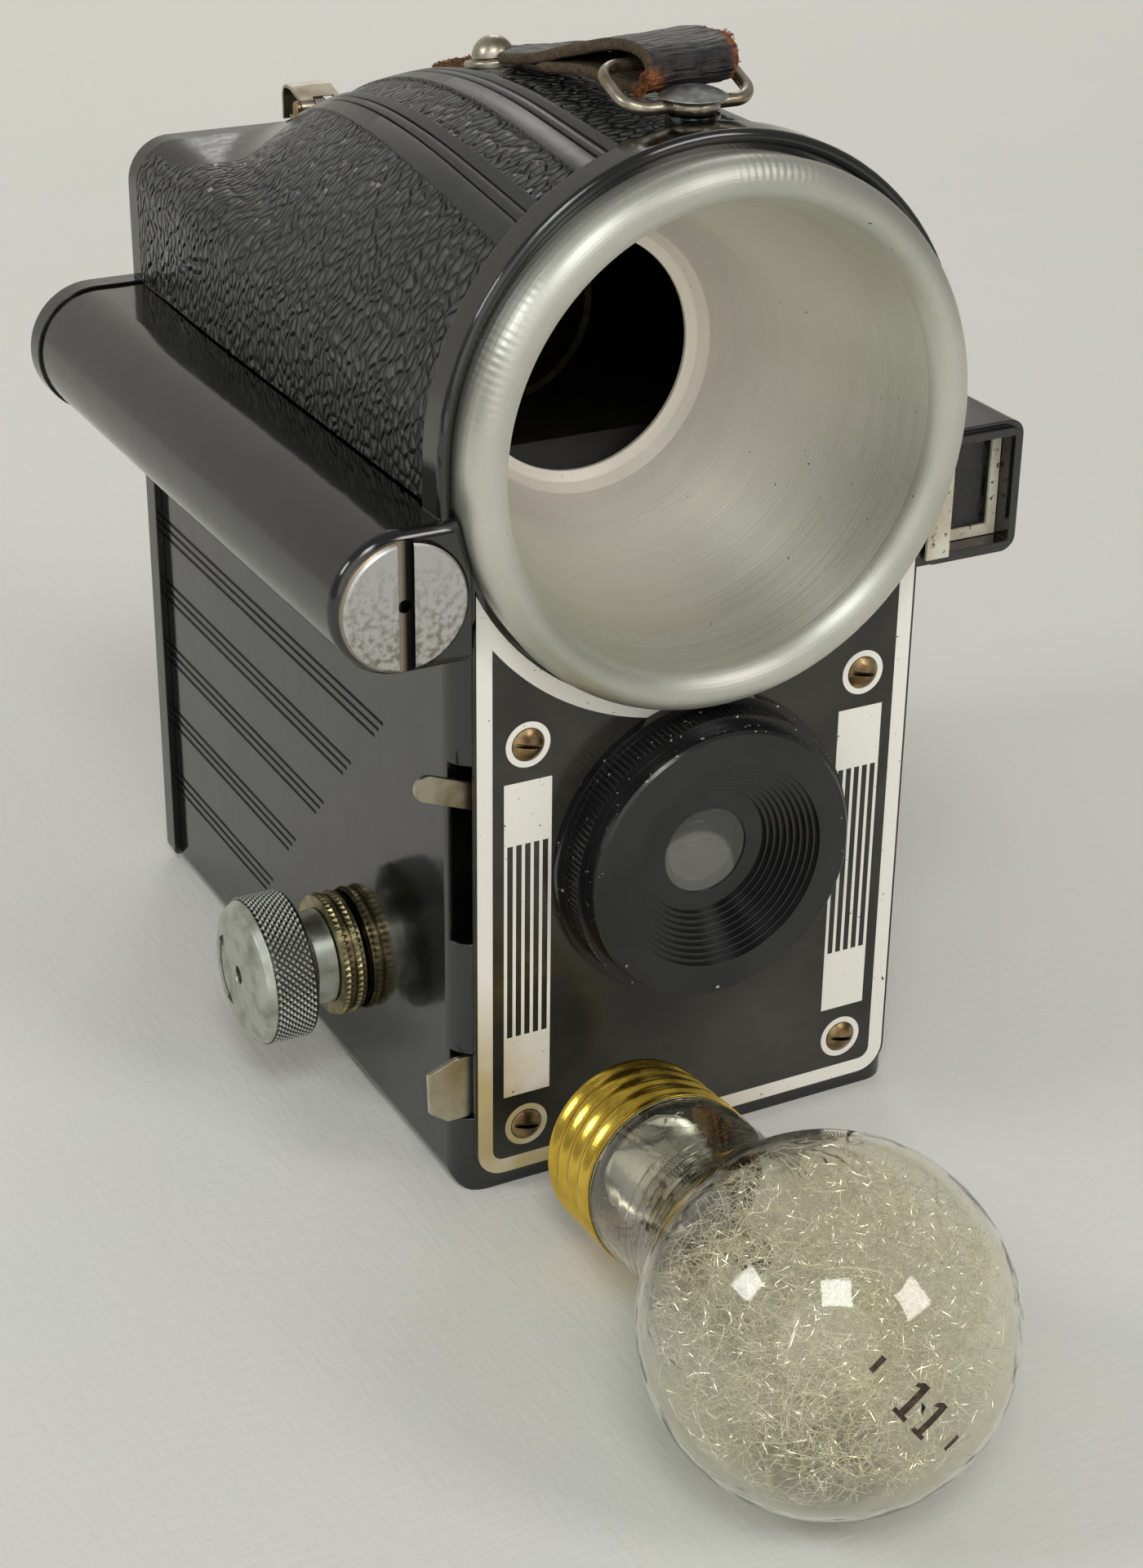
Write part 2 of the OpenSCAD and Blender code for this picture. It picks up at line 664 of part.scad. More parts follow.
// Sprung plate that holds the film flat
module pressure_plate() color([0.2, 0.2, 0.2]) {
    block([-frame_in + 0.6, film_y + 0.6, gate_z0 + 1], [frame_in - 0.6, film_y + 1.2, gate_z1 - 1]);
    for (z = [gate_z0 + 1, gate_z1 - 1.5])
        block([-frame_in + 0.6, film_y + 1.2 - eps, z], [frame_in - 0.6, film_y + 2.6, z + 0.5]);
}

// Bowed leaf between the pressure plate and the cover, riveted to the cover
module pressure_spring() color("tan") {
    y0 = film_y + 1.2;
    span = cover_in - y0;
    r = (pow(30, 2) + pow(span, 2)) / (2 * span);
    a = asin(30 / r);
    intersection() {
        along_x(-8, 8) translate([cover_in - r, lens_z]) difference() {
            circle(r, $fn = 180);
            circle(r - 0.5, $fn = 180);
        }
        block([-8, y0 + 0.1, lens_z - r * sin(a)], [8, cover_in, lens_z + r * sin(a)]);
    }
    bar_y(0, lens_z, cover_in - 1.2, cover_in, 2);
}

// Sheet hood that turns on the case and reaches back over the edge of the cover
module cover_latch() color([0.75, 0.72, 0.62]) difference() {
    union() {
        for (x = [[latch_x0 + 0.7, latch_x0 + 3], [latch_x1 - 1.6, latch_x1 - 0.7]])
            bar_x(latch_y, latch_z, x[0], x[1], knuckle_out);
        along_x(latch_x0 + 0.7, latch_x1 - 0.7) difference() {
            hood_outline(0);
            hood_outline(latch_t);
            translate([0, shoulder_z - 4])
                square([latch_y + 2.2, 4 + latch_z + knuckle_out - latch_t - shoulder_z]);
            translate([0, shoulder_z - 4]) square([100, 4.3]);
        }
    }
    bar_x(latch_y, latch_z, -20, 20, latch_r + run);
    bar_x(latch_y, latch_z, latch_x0 + 3.1, latch_x1 - 1.7, knuckle_out + 0.25);
}

// Side view of the latch's hood, drawn in by d
module hood_outline(d) {
    top = latch_z + knuckle_out;
    difference() {
        polygon([[latch_y - 0.4, top - d], [latch_end - 3.6, latch_top - d],
            [latch_end - 1.6, latch_top - d], [latch_end - 0.5 - d * 0.6, latch_top - 0.6 - d * 0.6],
            [latch_end - d, latch_top - 1.8 - d * 0.4],
            [latch_end - d, shoulder_z - 3], [latch_y - 0.4, shoulder_z - 3]]);
    }
}

module latch_pin() color([0.75, 0.6, 0.3]) bar_x(latch_y, latch_z, latch_x0, latch_x1, latch_r);

// Brass foot with two ears that carry the latch's pin
module latch_base() color([0.75, 0.6, 0.3]) difference() {
    union() {
        block([latch_x0, latch_y - 1.6, latch_seat - 0.8], [latch_x1, back_y, latch_seat]);
        for (x = [[latch_x0, latch_x0 + 0.6], [latch_x1 - 0.6, latch_x1]]) {
            bar_x(latch_y, latch_z, x[0], x[1], 1.1);
            block([x[0], latch_y - 1.1, latch_seat - eps], [x[1], latch_y + 1.1, latch_z]);
        }
    }
    bar_x(latch_y, latch_z, -20, 20, latch_r);
}

// Coil on the pin that keeps the latch down
module latch_spring() color([0.7, 0.68, 0.6]) {
    turned_x(latch_y, latch_z) for (i = [0:3])
        translate([latch_r + 0.32, latch_x0 + 3.5 + i * 0.5]) circle(0.27, $fn = 24);
    bar_z(latch_x0 + 3.5, latch_y - latch_r - 0.32, latch_seat, latch_z, 0.2);
}

// Stamped and painted face plate, cut out round the reflector
module front_plate() color([0.08, 0.08, 0.09]) difference() {
    along_y(plate_y, face_y) difference() {
        round_rect(-plate_w / 2, plate_z0, plate_w / 2, plate_z1, 4.5);
        translate([0, reflector_z]) circle(rim_r + 0.3);
        translate([-rim_r, reflector_z - 4]) square([2 * rim_r, 30]);
    }
    bar_y(0, lens_z, plate_y - 1, face_y + 1, 9.5);
    for (x = [-screw_x, screw_x], z = [screw_low, screw_high])
        bar_y(x, z, plate_y - 1, face_y + 1, screw_r + 0.2);
}

// Four slotted round-head screws
module plate_screws() color([0.6, 0.5, 0.3])
    for (x = [-screw_x, screw_x], z = [screw_low, screw_high]) difference() {
        union() {
            intersection() {
                translate([x, plate_y + 2.6, z]) sphere(3.6);
                bar_y(x, z, plate_y - 2, plate_y, screw_head_r);
            }
            bar_y(x, z, plate_y - eps, face_y + 6.5, screw_r);
        }
        translate([x, plate_y - 0.8, z]) rotate([0, 12, 0]) cube([6, 0.9, 0.6], center = true);
    }

// Turned bezel with its knurled ring and stepped cone
module lens_bezel() color([0.04, 0.04, 0.05]) turned_y(0, lens_z) {
    step_r = (cone_r - cone_r1) / cone_steps;
    step_y = cone_t / cone_steps;
    difference() {
        union() {
            translate([glass_r, plate_y - 1.5]) square([bezel_r - glass_r, 1.5]);
            translate([glass_r, bezel_y + 2.8]) square([bezel_r - 1.1 - glass_r, bezel_h - 4]);
            polygon([[glass_r, bezel_y], [bezel_r - 2.8, bezel_y], [bezel_r - 2.4, bezel_y + 0.4],
                [bezel_r - 2.4, bezel_y + 3], [glass_r, bezel_y + 3]]);
            translate([glass_seat_r, plate_y - eps]) square([9.2 - glass_seat_r, plate_t + 0.4]);
        }
        for (i = [0:cone_steps - 1])
            translate([0, bezel_y + i * step_y - eps]) square([cone_r - i * step_r, step_y + 2 * eps]);
        translate([0, cone_back + 0.3]) square([glass_seat_r, 10]);
        translate([0, bezel_y - 1]) square([glass_r, 20]);
    }
}

module lens_element() color([0.75, 0.85, 0.9, 0.4])
    bar_y(0, lens_z, cone_back + 0.3, cone_back + 0.3 + glass_t, glass_seat_r - run);

// Ring that holds the glass in the bezel from behind
module lens_ring() color([0.3, 0.3, 0.3]) difference() {
    bar_y(0, lens_z, cone_back + 0.3 + glass_t, cone_back + 1.2 + glass_t, glass_seat_r - run);
    bar_y(0, lens_z, cone_back, cone_back + 3 + glass_t, glass_r - 1.2);
}

// Stop with the taking aperture, on the inside of the face
module aperture_plate() color([0.1, 0.1, 0.1]) difference() {
    bar_y(0, lens_z, pocket_back, pocket_back + 0.5, 13);
    bar_y(0, lens_z, pocket_back - 1, pocket_back + 2, aperture_r);
}

// Steel plate on the pocket's floor with the pivots of the shutter
module shutter_plate() color([0.5, 0.5, 0.52]) {
    difference() {
        block([-17.5, shutter_y, lens_z - 15.5], [18.5, pocket_y, slot_z1 - 0.5]);
        bar_y(0, lens_z, shutter_y - 1, pocket_y + 1, 4.6);
    }
    bar_y(pivot_x, pivot_z, lever_y - 0.4, shutter_y + eps, pivot_r);
    bar_y(blade_px, blade_pz, blade_y - 0.6, shutter_y + eps, blade_pivot_r);
    bar_y(-15, 66, lever_y + 0.2, shutter_y + eps, 0.8);
}

// Blade that covers the aperture until the lever is pressed
module shutter_blade() color([0.15, 0.15, 0.16]) {
    reach = sqrt(pow(blade_px, 2) + pow(blade_pz - lens_z, 2));
    toward = atan2(lens_z - blade_pz, -blade_px);
    translate([blade_px, 0, blade_pz]) difference() {
        union() {
            bar_y(0, 0, blade_y, blade_y + blade_t, 3);
            rotate([0, -toward, 0]) {
                block([0, blade_y, -2.2], [reach, blade_y + blade_t, 2.2]);
                bar_y(reach, 0, blade_y, blade_y + blade_t, 5.6);
            }
        }
        bar_y(0, 0, blade_y - 1, blade_y + 1, blade_pivot_r + run);
    }
}

// Hairpin return spring of the lever
module shutter_spring() color([0.7, 0.7, 0.7]) {
    y = blade_y + 0.4;
    translate([pivot_x, y, pivot_z]) rotate([-90, 0, 0]) rotate_extrude() translate([2.2, 0])
        circle(0.3, $fn = 24);
    translate([pivot_x, y, pivot_z + 2.2]) rotate([0, -60, 0]) cylinder(r = 0.3, h = 8, $fn = 24);
    translate([pivot_x, y, pivot_z - 2.2]) rotate([0, 205, 0]) cylinder(r = 0.3, h = 8, $fn = 24);
}

// Flat steel lever whose end stands out of the corner slot
module release_lever() color([0.55, 0.53, 0.48])
    translate([pivot_x, 0, pivot_z]) rotate([0, lever_up, 0]) difference() {
        union() {
            bar_y(0, 0, lever_y, lever_y + lever_t, 4);
            block([-lever_reach + 1, lever_y, -1.9], [0, lever_y + lever_t, 1.9]);
            bar_y(-lever_reach + 1, 0, lever_y, lever_y + lever_t, 1.9);
            block([-lever_reach + 1, lever_y, -1.9], [-lever_reach + 7, lever_y + 1.4, -1.1]);
        }
        bar_y(0, 0, lever_y - 1, lever_y + 2, pivot_r + run);
    }

// Sliding tab for time exposures
module time_lever() color([0.8, 0.79, 0.74]) {
    along_y(lever_y, lever_y + lever_t) {
        translate([-half_w - 0.4, time_z - time_bar / 2]) square([half_w - 14.2, time_bar]);
        translate([-half_w, 0]) polygon([[2.6, time_z0 + 0.4], [2.6, time_z1], [-0.2, time_z1],
            [-4.4, time_z1 - 1.6], [-4.2, time_z0 + 2], [-1.4, time_z0], [1.8, time_z0]]);
    }
}

// Spun bowl with a rolled rim, a flange on the face and a turned-in neck
module reflector() color([0.8, 0.8, 0.78]) turned_y(0, reflector_z) {
    // Roll of the rim
    difference() {
        translate([roll_cr, roll_cy]) circle(roll_r, $fn = 48);
        translate([roll_cr, roll_cy]) circle(roll_r - spun_t, $fn = 48);
        translate([roll_cr - roll_r - 1, roll_cy]) square([2 * roll_r + 2, roll_r + 1]);
    }
    // Skirt and flange
    polygon([[rim_r - spun_t, roll_cy - eps], [rim_r, roll_cy - eps],
        [reflector_seat_r, face_y - spun_t], [reflector_seat_r, face_y],
        [reflector_hole_r - 0.4, face_y], [reflector_hole_r - 0.4, face_y - spun_t],
        [reflector_seat_r - spun_t, face_y - spun_t]]);
    // Bowl
    polygon([[roll_cr - roll_r, roll_cy - eps], [roll_cr - roll_r + spun_t, roll_cy - eps],
        [neck_r + spun_t, neck_cy], [neck_r + spun_t - 0.6, neck_cy + 1.9],
        [neck_hole_r + 0.4, neck_cy + 2.9], [neck_hole_r, neck_cy + 2.9],
        [neck_hole_r, neck_cy + 2.3], [neck_r - 1.2, neck_cy + 1.6], [neck_r, neck_cy]]);
}

// Moulded insulator behind the lamp socket
module socket_body() color([0.06, 0.06, 0.06]) difference() {
    union() {
        bar_y(0, socket_z, socket_y1, socket_y1 + socket_base_t, socket_base_r);
        difference() {
            bar_y(0, socket_z, socket_y1 - 8, socket_y1 + eps, socket_base_r);
            bar_y(0, socket_z, socket_y1 - 9, socket_y1 + 1, socket_r + socket_wall + 0.1);
        }
    }
    bar_y(0, socket_z, socket_y1 - 1, socket_y1 + socket_base_t + 1, 1.2);
    block([-20, socket_y1 - 9, floor_z - 5], [20, socket_y1 + 9, floor_z + floor_t + 0.05]);
}

// Brass screw shell of the lamp socket
module socket_shell() color([0.8, 0.65, 0.3]) turned_y(0, socket_z) {
    translate([socket_r, socket_y0]) square([socket_wall, socket_l - 0.6 + eps]);
    translate([5, socket_y1 - 0.6]) square([socket_r + socket_wall - 5, 0.6]);
    translate([socket_r, socket_y0]) square([socket_wall + 0.5, 0.7]);
}

module socket_contact() color([0.8, 0.65, 0.3]) {
    bar_y(0, socket_z, socket_y1 - 0.6, socket_y1, 3.2);
    bar_y(0, socket_z, socket_y1 - eps, socket_y1 + socket_base_t, 1.15);
}

// Sheet bracket that carries the socket on the floor of the flash chamber
module socket_bracket() color([0.6, 0.6, 0.6]) {
    y = socket_y1 + socket_base_t;
    difference() {
        block([-11, y, floor_z + floor_t], [11, y + 1, socket_z + 10]);
        bar_y(0, socket_z, y - 1, y + 2, 3);
    }
    block([-11, y, floor_z + floor_t], [11, y + 9, floor_z + floor_t + 1]);
}

// Sheet floor between the flash chamber and the film chamber
module flash_floor() color([0.4, 0.4, 0.42]) {
    low = reflector_z - neck_r - spun_t - 0.9;
    y0 = pocket_back + 0.4;
    along_x(-in_x + 0.2, in_x - 0.2) polygon([
        [y0, low - (neck_cy - y0) * floor_slope], [neck_cy, low], [neck_cy + 4, low],
        [neck_cy + 9, floor_z], [back_y - trap_l - 1.5, floor_z],
        [back_y - trap_l - 1.5, floor_z + floor_t], [neck_cy + 8.7, floor_z + floor_t],
        [neck_cy + 3.7, low + floor_t], [neck_cy, low + floor_t],
        [y0, low - (neck_cy - y0) * floor_slope + floor_t]]);
}

// Brass strip from the rear of the cells to the socket
module contact_strip() color([0.8, 0.65, 0.3]) {
    z0 = tube_z + 2;
    block([-tube_x - 2, cell_end - 0.6, tube_z - 3], [-tube_x + 3.5, cell_end, z0 + 3]);
    block([-tube_x + 3, cell_end - 0.6, z0], [-15, cell_end, z0 + 3]);
    block([-15, socket_y1 + 1, z0], [-14.4, cell_end, z0 + 3]);
    block([-15, socket_y1 + 1, z0 + 2.9], [-14.4, socket_y1 + 4, socket_z - 7.1]);
}

// Coin-slot cap of the battery tube
module battery_cap() color([0.75, 0.75, 0.75]) difference() {
    union() {
        turned_y(-tube_x, tube_z) {
            polygon([[0, tube_y0 - cap_head_t], [cap_r - 0.6, tube_y0 - cap_head_t],
                [cap_r, tube_y0 - cap_head_t + 0.5], [cap_r, tube_y0], [0, tube_y0]]);
            translate([0, tube_y0 - eps]) square([cap_thread_r, cap_thread_l]);
        }
    }
    translate([-tube_x, tube_y0 - cap_head_t, tube_z]) cube([2.3, 1.4, 2 * cap_r + 1], center = true);
    bar_y(-tube_x, tube_z, tube_y0 - 3, tube_y0 + 1, 0.9);
    bar_y(-tube_x, tube_z, tube_y0 + 1.6, tube_y0 + 6, cap_thread_r - 1.4);
}

// Coil spring in the cap: six turns that narrow towards the cell
module cap_spring() color([0.75, 0.75, 0.7]) {
    turns = 5;
    per = 14;
    y0 = tube_y0 + 2;
    y1 = cell_end - 0.7 - cell_pitch - cell_l - 0.4;
    w = 0.35;
    path = [for (i = [0:turns * per]) let (t = i / (turns * per), a = 360 * i / per, r = 5.6 - 2.2 * t)
        [-tube_x + r * cos(a), y0 + (y1 - y0) * t, tube_z + r * sin(a)]];
    round_sweep(path, w, 6);
}

// Tube of n sides and radius w along a list of points
module round_sweep(path, w, n) {
    last = len(path) - 1;
    function unit(v) = v / norm(v);
    function dir(i) = unit(path[min(i + 1, last)] - path[max(i - 1, 0)]);
    pts = [for (i = [0:last]) let (d = dir(i), u = unit(cross(d, [0.1, 1, 0.05])), v = cross(d, u))
        for (k = [0:n - 1]) path[i] + w * cos(360 * k / n) * u + w * sin(360 * k / n) * v];
    sides = [for (i = [0:last - 1], k = [0:n - 1]) let (j = (k + 1) % n)
        each [[i * n + k, i * n + j, (i + 1) * n + k], [i * n + j, (i + 1) * n + j, (i + 1) * n + k]]];
    ends = [for (k = [1:n - 2]) each [[0, k + 1, k], [last * n, last * n + k, last * n + k + 1]]];
    polyhedron(pts, concat(sides, ends));
}

// A dry cell that ends at y1, its nub towards the face
module cell(y1) {
    bar_y(-tube_x, tube_z, y1 - cell_l, y1, cell_r);
    bar_y(-tube_x, tube_z, y1 - cell_l - nub_l, y1 - cell_l + eps, 2.6);
}

module battery_rear() color([0.2, 0.25, 0.35]) cell(cell_end - 0.7);

module battery_front() color([0.25, 0.3, 0.4]) cell(cell_end - 0.7 - cell_pitch);

// Knurled aluminium winding knob
module winding_knob() color([0.75, 0.76, 0.76]) {
    x0 = -half_w - knob_out;
    difference() {
        turned_x(-takeup_y, takeup_z) polygon([[1.4, x0 + 0.2], [1.6, x0], [knob_r - 2.4, x0],
            [knob_r - 0.7, x0 + 0.8], [knob_r, x0 + 2], [knob_r, x0 + 2 + knurl_l],
            [knob_r - 1.2, x0 + 2.6 + knurl_l], [7.6, x0 + 2.9 + knurl_l], [7, x0 + 10.4],
            [7.4, x0 + knob_out - 4.3], [shaft_r + 0.02, x0 + knob_out - 4.3],
            [shaft_r + 0.02, x0 + 5], [1.4, x0 + 5]]);
    }
}

// Knurled brass flange under the knob
module knob_flange() color([0.65, 0.55, 0.3]) turned_x(-takeup_y, takeup_z) {
    x1 = -half_w - 0.4;
    translate([shaft_r, x1 - 1.6]) square([knob_flange_r, 1.4] - [shaft_r, 0]);
    translate([shaft_r, x1 - 2.1]) square([knob_flange_r - 1 - shaft_r, 2.1]);
    translate([shaft_r, x1 - 3.7]) square([knob_flange_r - shaft_r, 1.6]);
}

// Shaft through the wall, with the key that turns the spool
module wind_shaft() color([0.7, 0.7, 0.7]) {
    end = -spool_half - 0.2;
    bar_x(-takeup_y, takeup_z, -half_w - knob_out + 5, end, shaft_r);
    intersection() {
        bar_x(-takeup_y, takeup_z, end - eps, end + key_l, key_w);
        block([end - 1, -takeup_y - 5, takeup_z - key_t / 2],
            [end + key_l, -takeup_y + 5, takeup_z + key_t / 2]);
    }
}

// A film spool on its axis; both its ends have a key slot
module spool(y, z) difference() {
    union() {
        bar_x(y, z, -spool_half, spool_half, spool_core_r);
        for (s = [-1, 1]) bar_x(y, z, s * (spool_half - spool_t / 2) - spool_t / 2,
            s * (spool_half - spool_t / 2) + spool_t / 2, spool_r);
    }
    bar_x(y, z, -spool_half - 1, spool_half + 1, spool_bore_r);
    for (s = [-1, 1]) block([s * spool_half - 4, y - 4.4, z - 0.8], [s * spool_half + 4, y + 4.4, z + 0.8]);
    block([-22, y - 0.5, z], [22, y + 0.5, z + spool_core_r + 1]);
}

module takeup_spool() color([0.25, 0.25, 0.27]) spool(-takeup_y, takeup_z);

module supply_spool() color([0.25, 0.25, 0.27]) spool(-supply_y, supply_z);

// A pin on one side plate that carries a spool's end
module spool_pin(y, z, s) {
    e = spool_half + 0.3;
    bar_x(y, z, min(s * e, s * frame_in), max(s * e, s * frame_in), 5);
    bar_x(y, z, min(s * (e - 3.2), s * e), max(s * (e - 3.2), s * e), shaft_r);
}

module spool_pins() color([0.7, 0.68, 0.6]) {
    spool_pin(-takeup_y, takeup_z, 1);
    spool_pin(-supply_y, supply_z, 1);
    spool_pin(-supply_y, supply_z, -1);
}

// Sheet steel film carrier: side plates, gate, light baffles and front wall
module film_frame() color([0.12, 0.12, 0.13]) difference() {
    union() {
        for (s = [-1, 1])
            block([s * (frame_x + frame_in) / 2 - frame_t / 2, pocket_back + 4, wall],
                [s * (frame_x + frame_in) / 2 + frame_t / 2, film_y, gate_z1 + 3.4]);
        block([-frame_x, film_y - frame_t, gate_z0], [frame_x, film_y, gate_z1]);
        block([-frame_x, pocket_back + 4, wall], [frame_x, pocket_back + 4 + frame_t, pocket_top - 3]);
        along_x(-frame_x, frame_x) {
            polygon([[film_y - frame_t, gate_z0 + 1], [2, takeup_z + 4.7],
                [2, takeup_z + 5.3], [film_y - frame_t, gate_z0 + 1.6]]);
            polygon([[film_y - frame_t, gate_z1 - 1], [14, supply_z - 4],
                [14, supply_z - 4.6], [film_y - frame_t, gate_z1 - 1.6]]);
        }
    }
    block([-picture_w / 2, film_y - 3, lens_z - picture_h / 2 + 1], [picture_w / 2, film_y + 1,
        lens_z + picture_h / 2 - 1]);
    bar_y(0, lens_z, pocket_back, pocket_back + 8, 15);
    bar_x(-takeup_y, takeup_z, -frame_x - 1, -frame_in + 1, key_w + 0.3);
    // Slope that stays under the floor of the flash chamber
    low = reflector_z - neck_r - spun_t - 1.3;
    along_x(-frame_x - 1, frame_x + 1) polygon([
        [face_y, low - (neck_cy - face_y) * floor_slope], [neck_cy, low], [neck_cy + 5, low],
        [neck_cy + 9.5, floor_z - 0.4], [neck_cy + 9.5, floor_z + 9], [face_y, floor_z + 9]]);
    for (z = [gate_z0 - 0.4 - guide_r, gate_z1 + 0.4 + guide_r - 0.6])
        bar_x(film_y - guide_r, z, -frame_x - 1, frame_x + 1, 0.9);
}

// Two rods over which the film runs
module film_guides() color([0.75, 0.75, 0.73])
    for (z = [gate_z0 - 0.4 - guide_r, gate_z1 + 0.4 + guide_r - 0.6]) {
        bar_x(film_y - guide_r, z, -frame_in, frame_in, guide_r - 0.2);
        bar_x(film_y - guide_r, z, -frame_x, frame_x, 0.9);
    }

// Folded sheet mask of the finder, with a flange on the case's face
module finder_mask() color([0.85, 0.82, 0.72]) {
    x0 = finder_in_x + 0.1;
    x1 = finder_x - finder_wall - 0.1;
    z0 = finder_z0 + finder_wall + 0.1;
    z1 = finder_z1 - finder_wall - 0.1;
    y = finder_face + mask_y;
    difference() {
        block([x0, y, z0], [x1, y + 0.5, z1]);
        block([x0 + 1.3, y - 1, z0 + 1.6], [x1 - 1.5, y + 1, z1 - 1.3]);
    }
    block([x0, finder_face - 0.5, z0], [x0 + 0.4, y + eps, z1]);
    difference() {
        block([x0 - 3.4, finder_face - 0.5, z0 - 0.6], [x0 + 0.4, finder_face, z1 - 0.4]);
        bar_y(0, reflector_z, finder_face - 2, finder_face + 1, rim_r + rim_room);
    }
}

module finder_front_lens() color([0.7, 0.8, 0.85, 0.4])
    block([finder_in_x + 0.2, finder_face + mask_y + 0.5, finder_z0 + finder_wall + 0.2],
        [finder_x - finder_wall - 0.2, finder_face + mask_y + 2.1, finder_z1 - finder_wall - 0.2]);

module finder_rear_lens() color([0.7, 0.8, 0.85, 0.4])
    block([finder_in_x + 1.1, cover_y0 + 1.2, finder_z0 + 3.5],
        [finder_x - 3.5, cover_y0 + 3, finder_z1 - 3.5]);

// Outline of the ring in its own plane: a rounded rectangle of wire
module ring_wire(r) {
    c = 3.2;
    a = ring_w / 2 - r;
    b = ring_l;
    for (s = [-1, 1]) {
        translate([s * a, c, 0]) rotate([-90, 0, 0]) cylinder(r = r, h = b - 2 * c, $fn = 32);
        translate([s * (a - c), c, 0]) rotate([0, 0, s > 0 ? -90 : 180]) rotate_extrude(angle = 90)
            translate([c, 0]) circle(r, $fn = 32);
        translate([s * (a - c), b - c, 0]) rotate([0, 0, s > 0 ? 0 : 90]) rotate_extrude(angle = 90)
            translate([c, 0]) circle(r, $fn = 32);
    }
    for (y = [0, b]) translate([-a + c, y, 0]) rotate([0, 90, 0])
        cylinder(r = r, h = 2 * (a - c), $fn = 32);
}

module strap_ring() color([0.72, 0.7, 0.65]) translate([ring_x, ring_y, ring_z]) {
    difference() {
        rotate([ring_tilt, 0, 0]) ring_wire(wire_r);
        cylinder(r = eye_r - 0.2, h = 3, center = true);
    }
    rotate_extrude() translate([eye_r, 0]) circle(wire_r + 0.08, $fn = 32);
}

module ring_washer() color([0.72, 0.7, 0.65]) difference() {
    bar_z(ring_x, ring_y, crown_z + crown_r, ring_z - wire_r - 0.2, 3.6);
    bar_z(ring_x, ring_y, crown_z, crown_z + 60, 1.3);
}

// Flat oval-looking head and the shank that the ring's eye turns on
module strap_front_rivet() color([0.72, 0.7, 0.65]) {
    z = ring_z + wire_r + 0.2;
    intersection() {
        translate([ring_x, ring_y, z - 7.5]) sphere(8.9);
        bar_z(ring_x, ring_y, z, z + 3, 4.6);
    }
    bar_z(ring_x, ring_y, crown_z + crown_r - wall - 1, z + eps, 1.25);
    bar_z(ring_x, ring_y, crown_z + crown_r - wall - 1.4, crown_z + crown_r - wall - 0.6, 2.6);
}

// Things that stand on the sloping crown at the rear rivet
module on_rear_slope() {
    translate([0, rivet_y, rivet_z]) rotate([-rivet_slope, 0, 0]) children();
}

module strap_washer() color([0.72, 0.7, 0.65]) on_rear_slope() difference() {
    union() {
        translate([0, 0, 0.02]) cylinder(r = 4.4, h = 0.58);
        rotate_extrude() translate([3.9, 0.55]) circle(0.5, $fn = 32);
    }
    translate([0, 0, -2]) cylinder(r = 1.25, h = 5);
}

module strap_rear_rivet() color([0.75, 0.74, 0.7]) on_rear_slope() {
    lift = 1.15 + strap_t;
    intersection() {
        translate([0, 0, lift]) sphere(3.2);
        translate([-5, -5, lift]) cube([10, 10, 5]);
    }
    translate([0, 0, -5]) cylinder(r = 1.2, h = lift + 5 + eps);
    translate([0, 0, -wall - 1]) cylinder(r = 2.6, h = 0.7);
}

// A ribbon of thickness t along a line of points
module ribbon(line, t) {
    last = len(line) - 1;
    steps = [for (i = [0:last]) line[min(i + 1, last)] - line[max(i - 1, 0)]];
    normals = [for (d = steps) [-d.y, d.x] / norm(d)];
    polygon(concat([for (i = [0:last]) line[i] + normals[i] * t / 2],
        [for (i = [last:-1:0]) line[i] - normals[i] * t / 2]));
}

module strap_leather() color([0.12, 0.09, 0.09]) difference() {
    along_x(ring_x + strap_slide - strap_w / 2, ring_x + strap_slide + strap_w / 2)
        ribbon(strap_mid, strap_t);
    on_rear_slope() translate([0, 0, -2]) cylinder(r = 1.3, h = 8);
}

// Torn rear end of the strap that is still held under the washer's edge
module strap_stub() color([0.55, 0.27, 0.12]) on_rear_slope() {
    for (i = [0:3])
        translate([-1.8, 4.9 + i * stub_l / 4, 0.35 - pow(i + 1, 2) * 0.012])
            cube([3.6 - i * 0.6, stub_l / 4 + eps, 1.3 - i * 0.15]);
}

// Everything on the bulb's own axis, which runs from the globe's centre to its tip along +X
module on_bulb_axis() {
    translate([bulb_x, globe_y, globe_r]) rotate([0, 0, 90 - bulb_turn]) rotate([0, bulb_tilt, 0])
        children();
}

// A turned shape on the bulb's axis; its outline holds radius and distance from the globe's centre
module bulb_turned() {
    on_bulb_axis() rotate([0, 90, 0]) rotate_extrude() children();
}

// Outline of the glass, drawn in by d: globe, shoulder curve and straight neck
module glass_outline(d) {
    s0 = 14;
    r0 = sqrt(pow(globe_r, 2) - s0 * s0);
    n = 8;
    shoulder = [for (i = [0:n]) let (t = i / n, a = t * t * (3 - 2 * t))
        [r0 + (bulb_neck_r - r0) * sin(90 * pow(t, 0.85)) - d, s0 + (36 - s0) * t]];
    intersection() {
        circle(globe_r - d);
        translate([0, -globe_r]) square([globe_r, globe_r + s0]);
    }
    polygon(concat([[0, s0 - eps]], shoulder, [[bulb_neck_r - d, shell_s0 - 0.2 - d / 2],
        [plug_r - d, shell_s0 - 0.2 - d / 2], [plug_r - d, shell_s0 + 6], [0, shell_s0 + 6]]));
}

module bulb_globe() color([0.9, 0.92, 0.9, 0.25]) bulb_turned() difference() {
    glass_outline(0);
    difference() {
        glass_outline(bulb_wall);
        translate([0, shell_s0 + 6 - bulb_wall]) square([globe_r, 2]);
    }
}

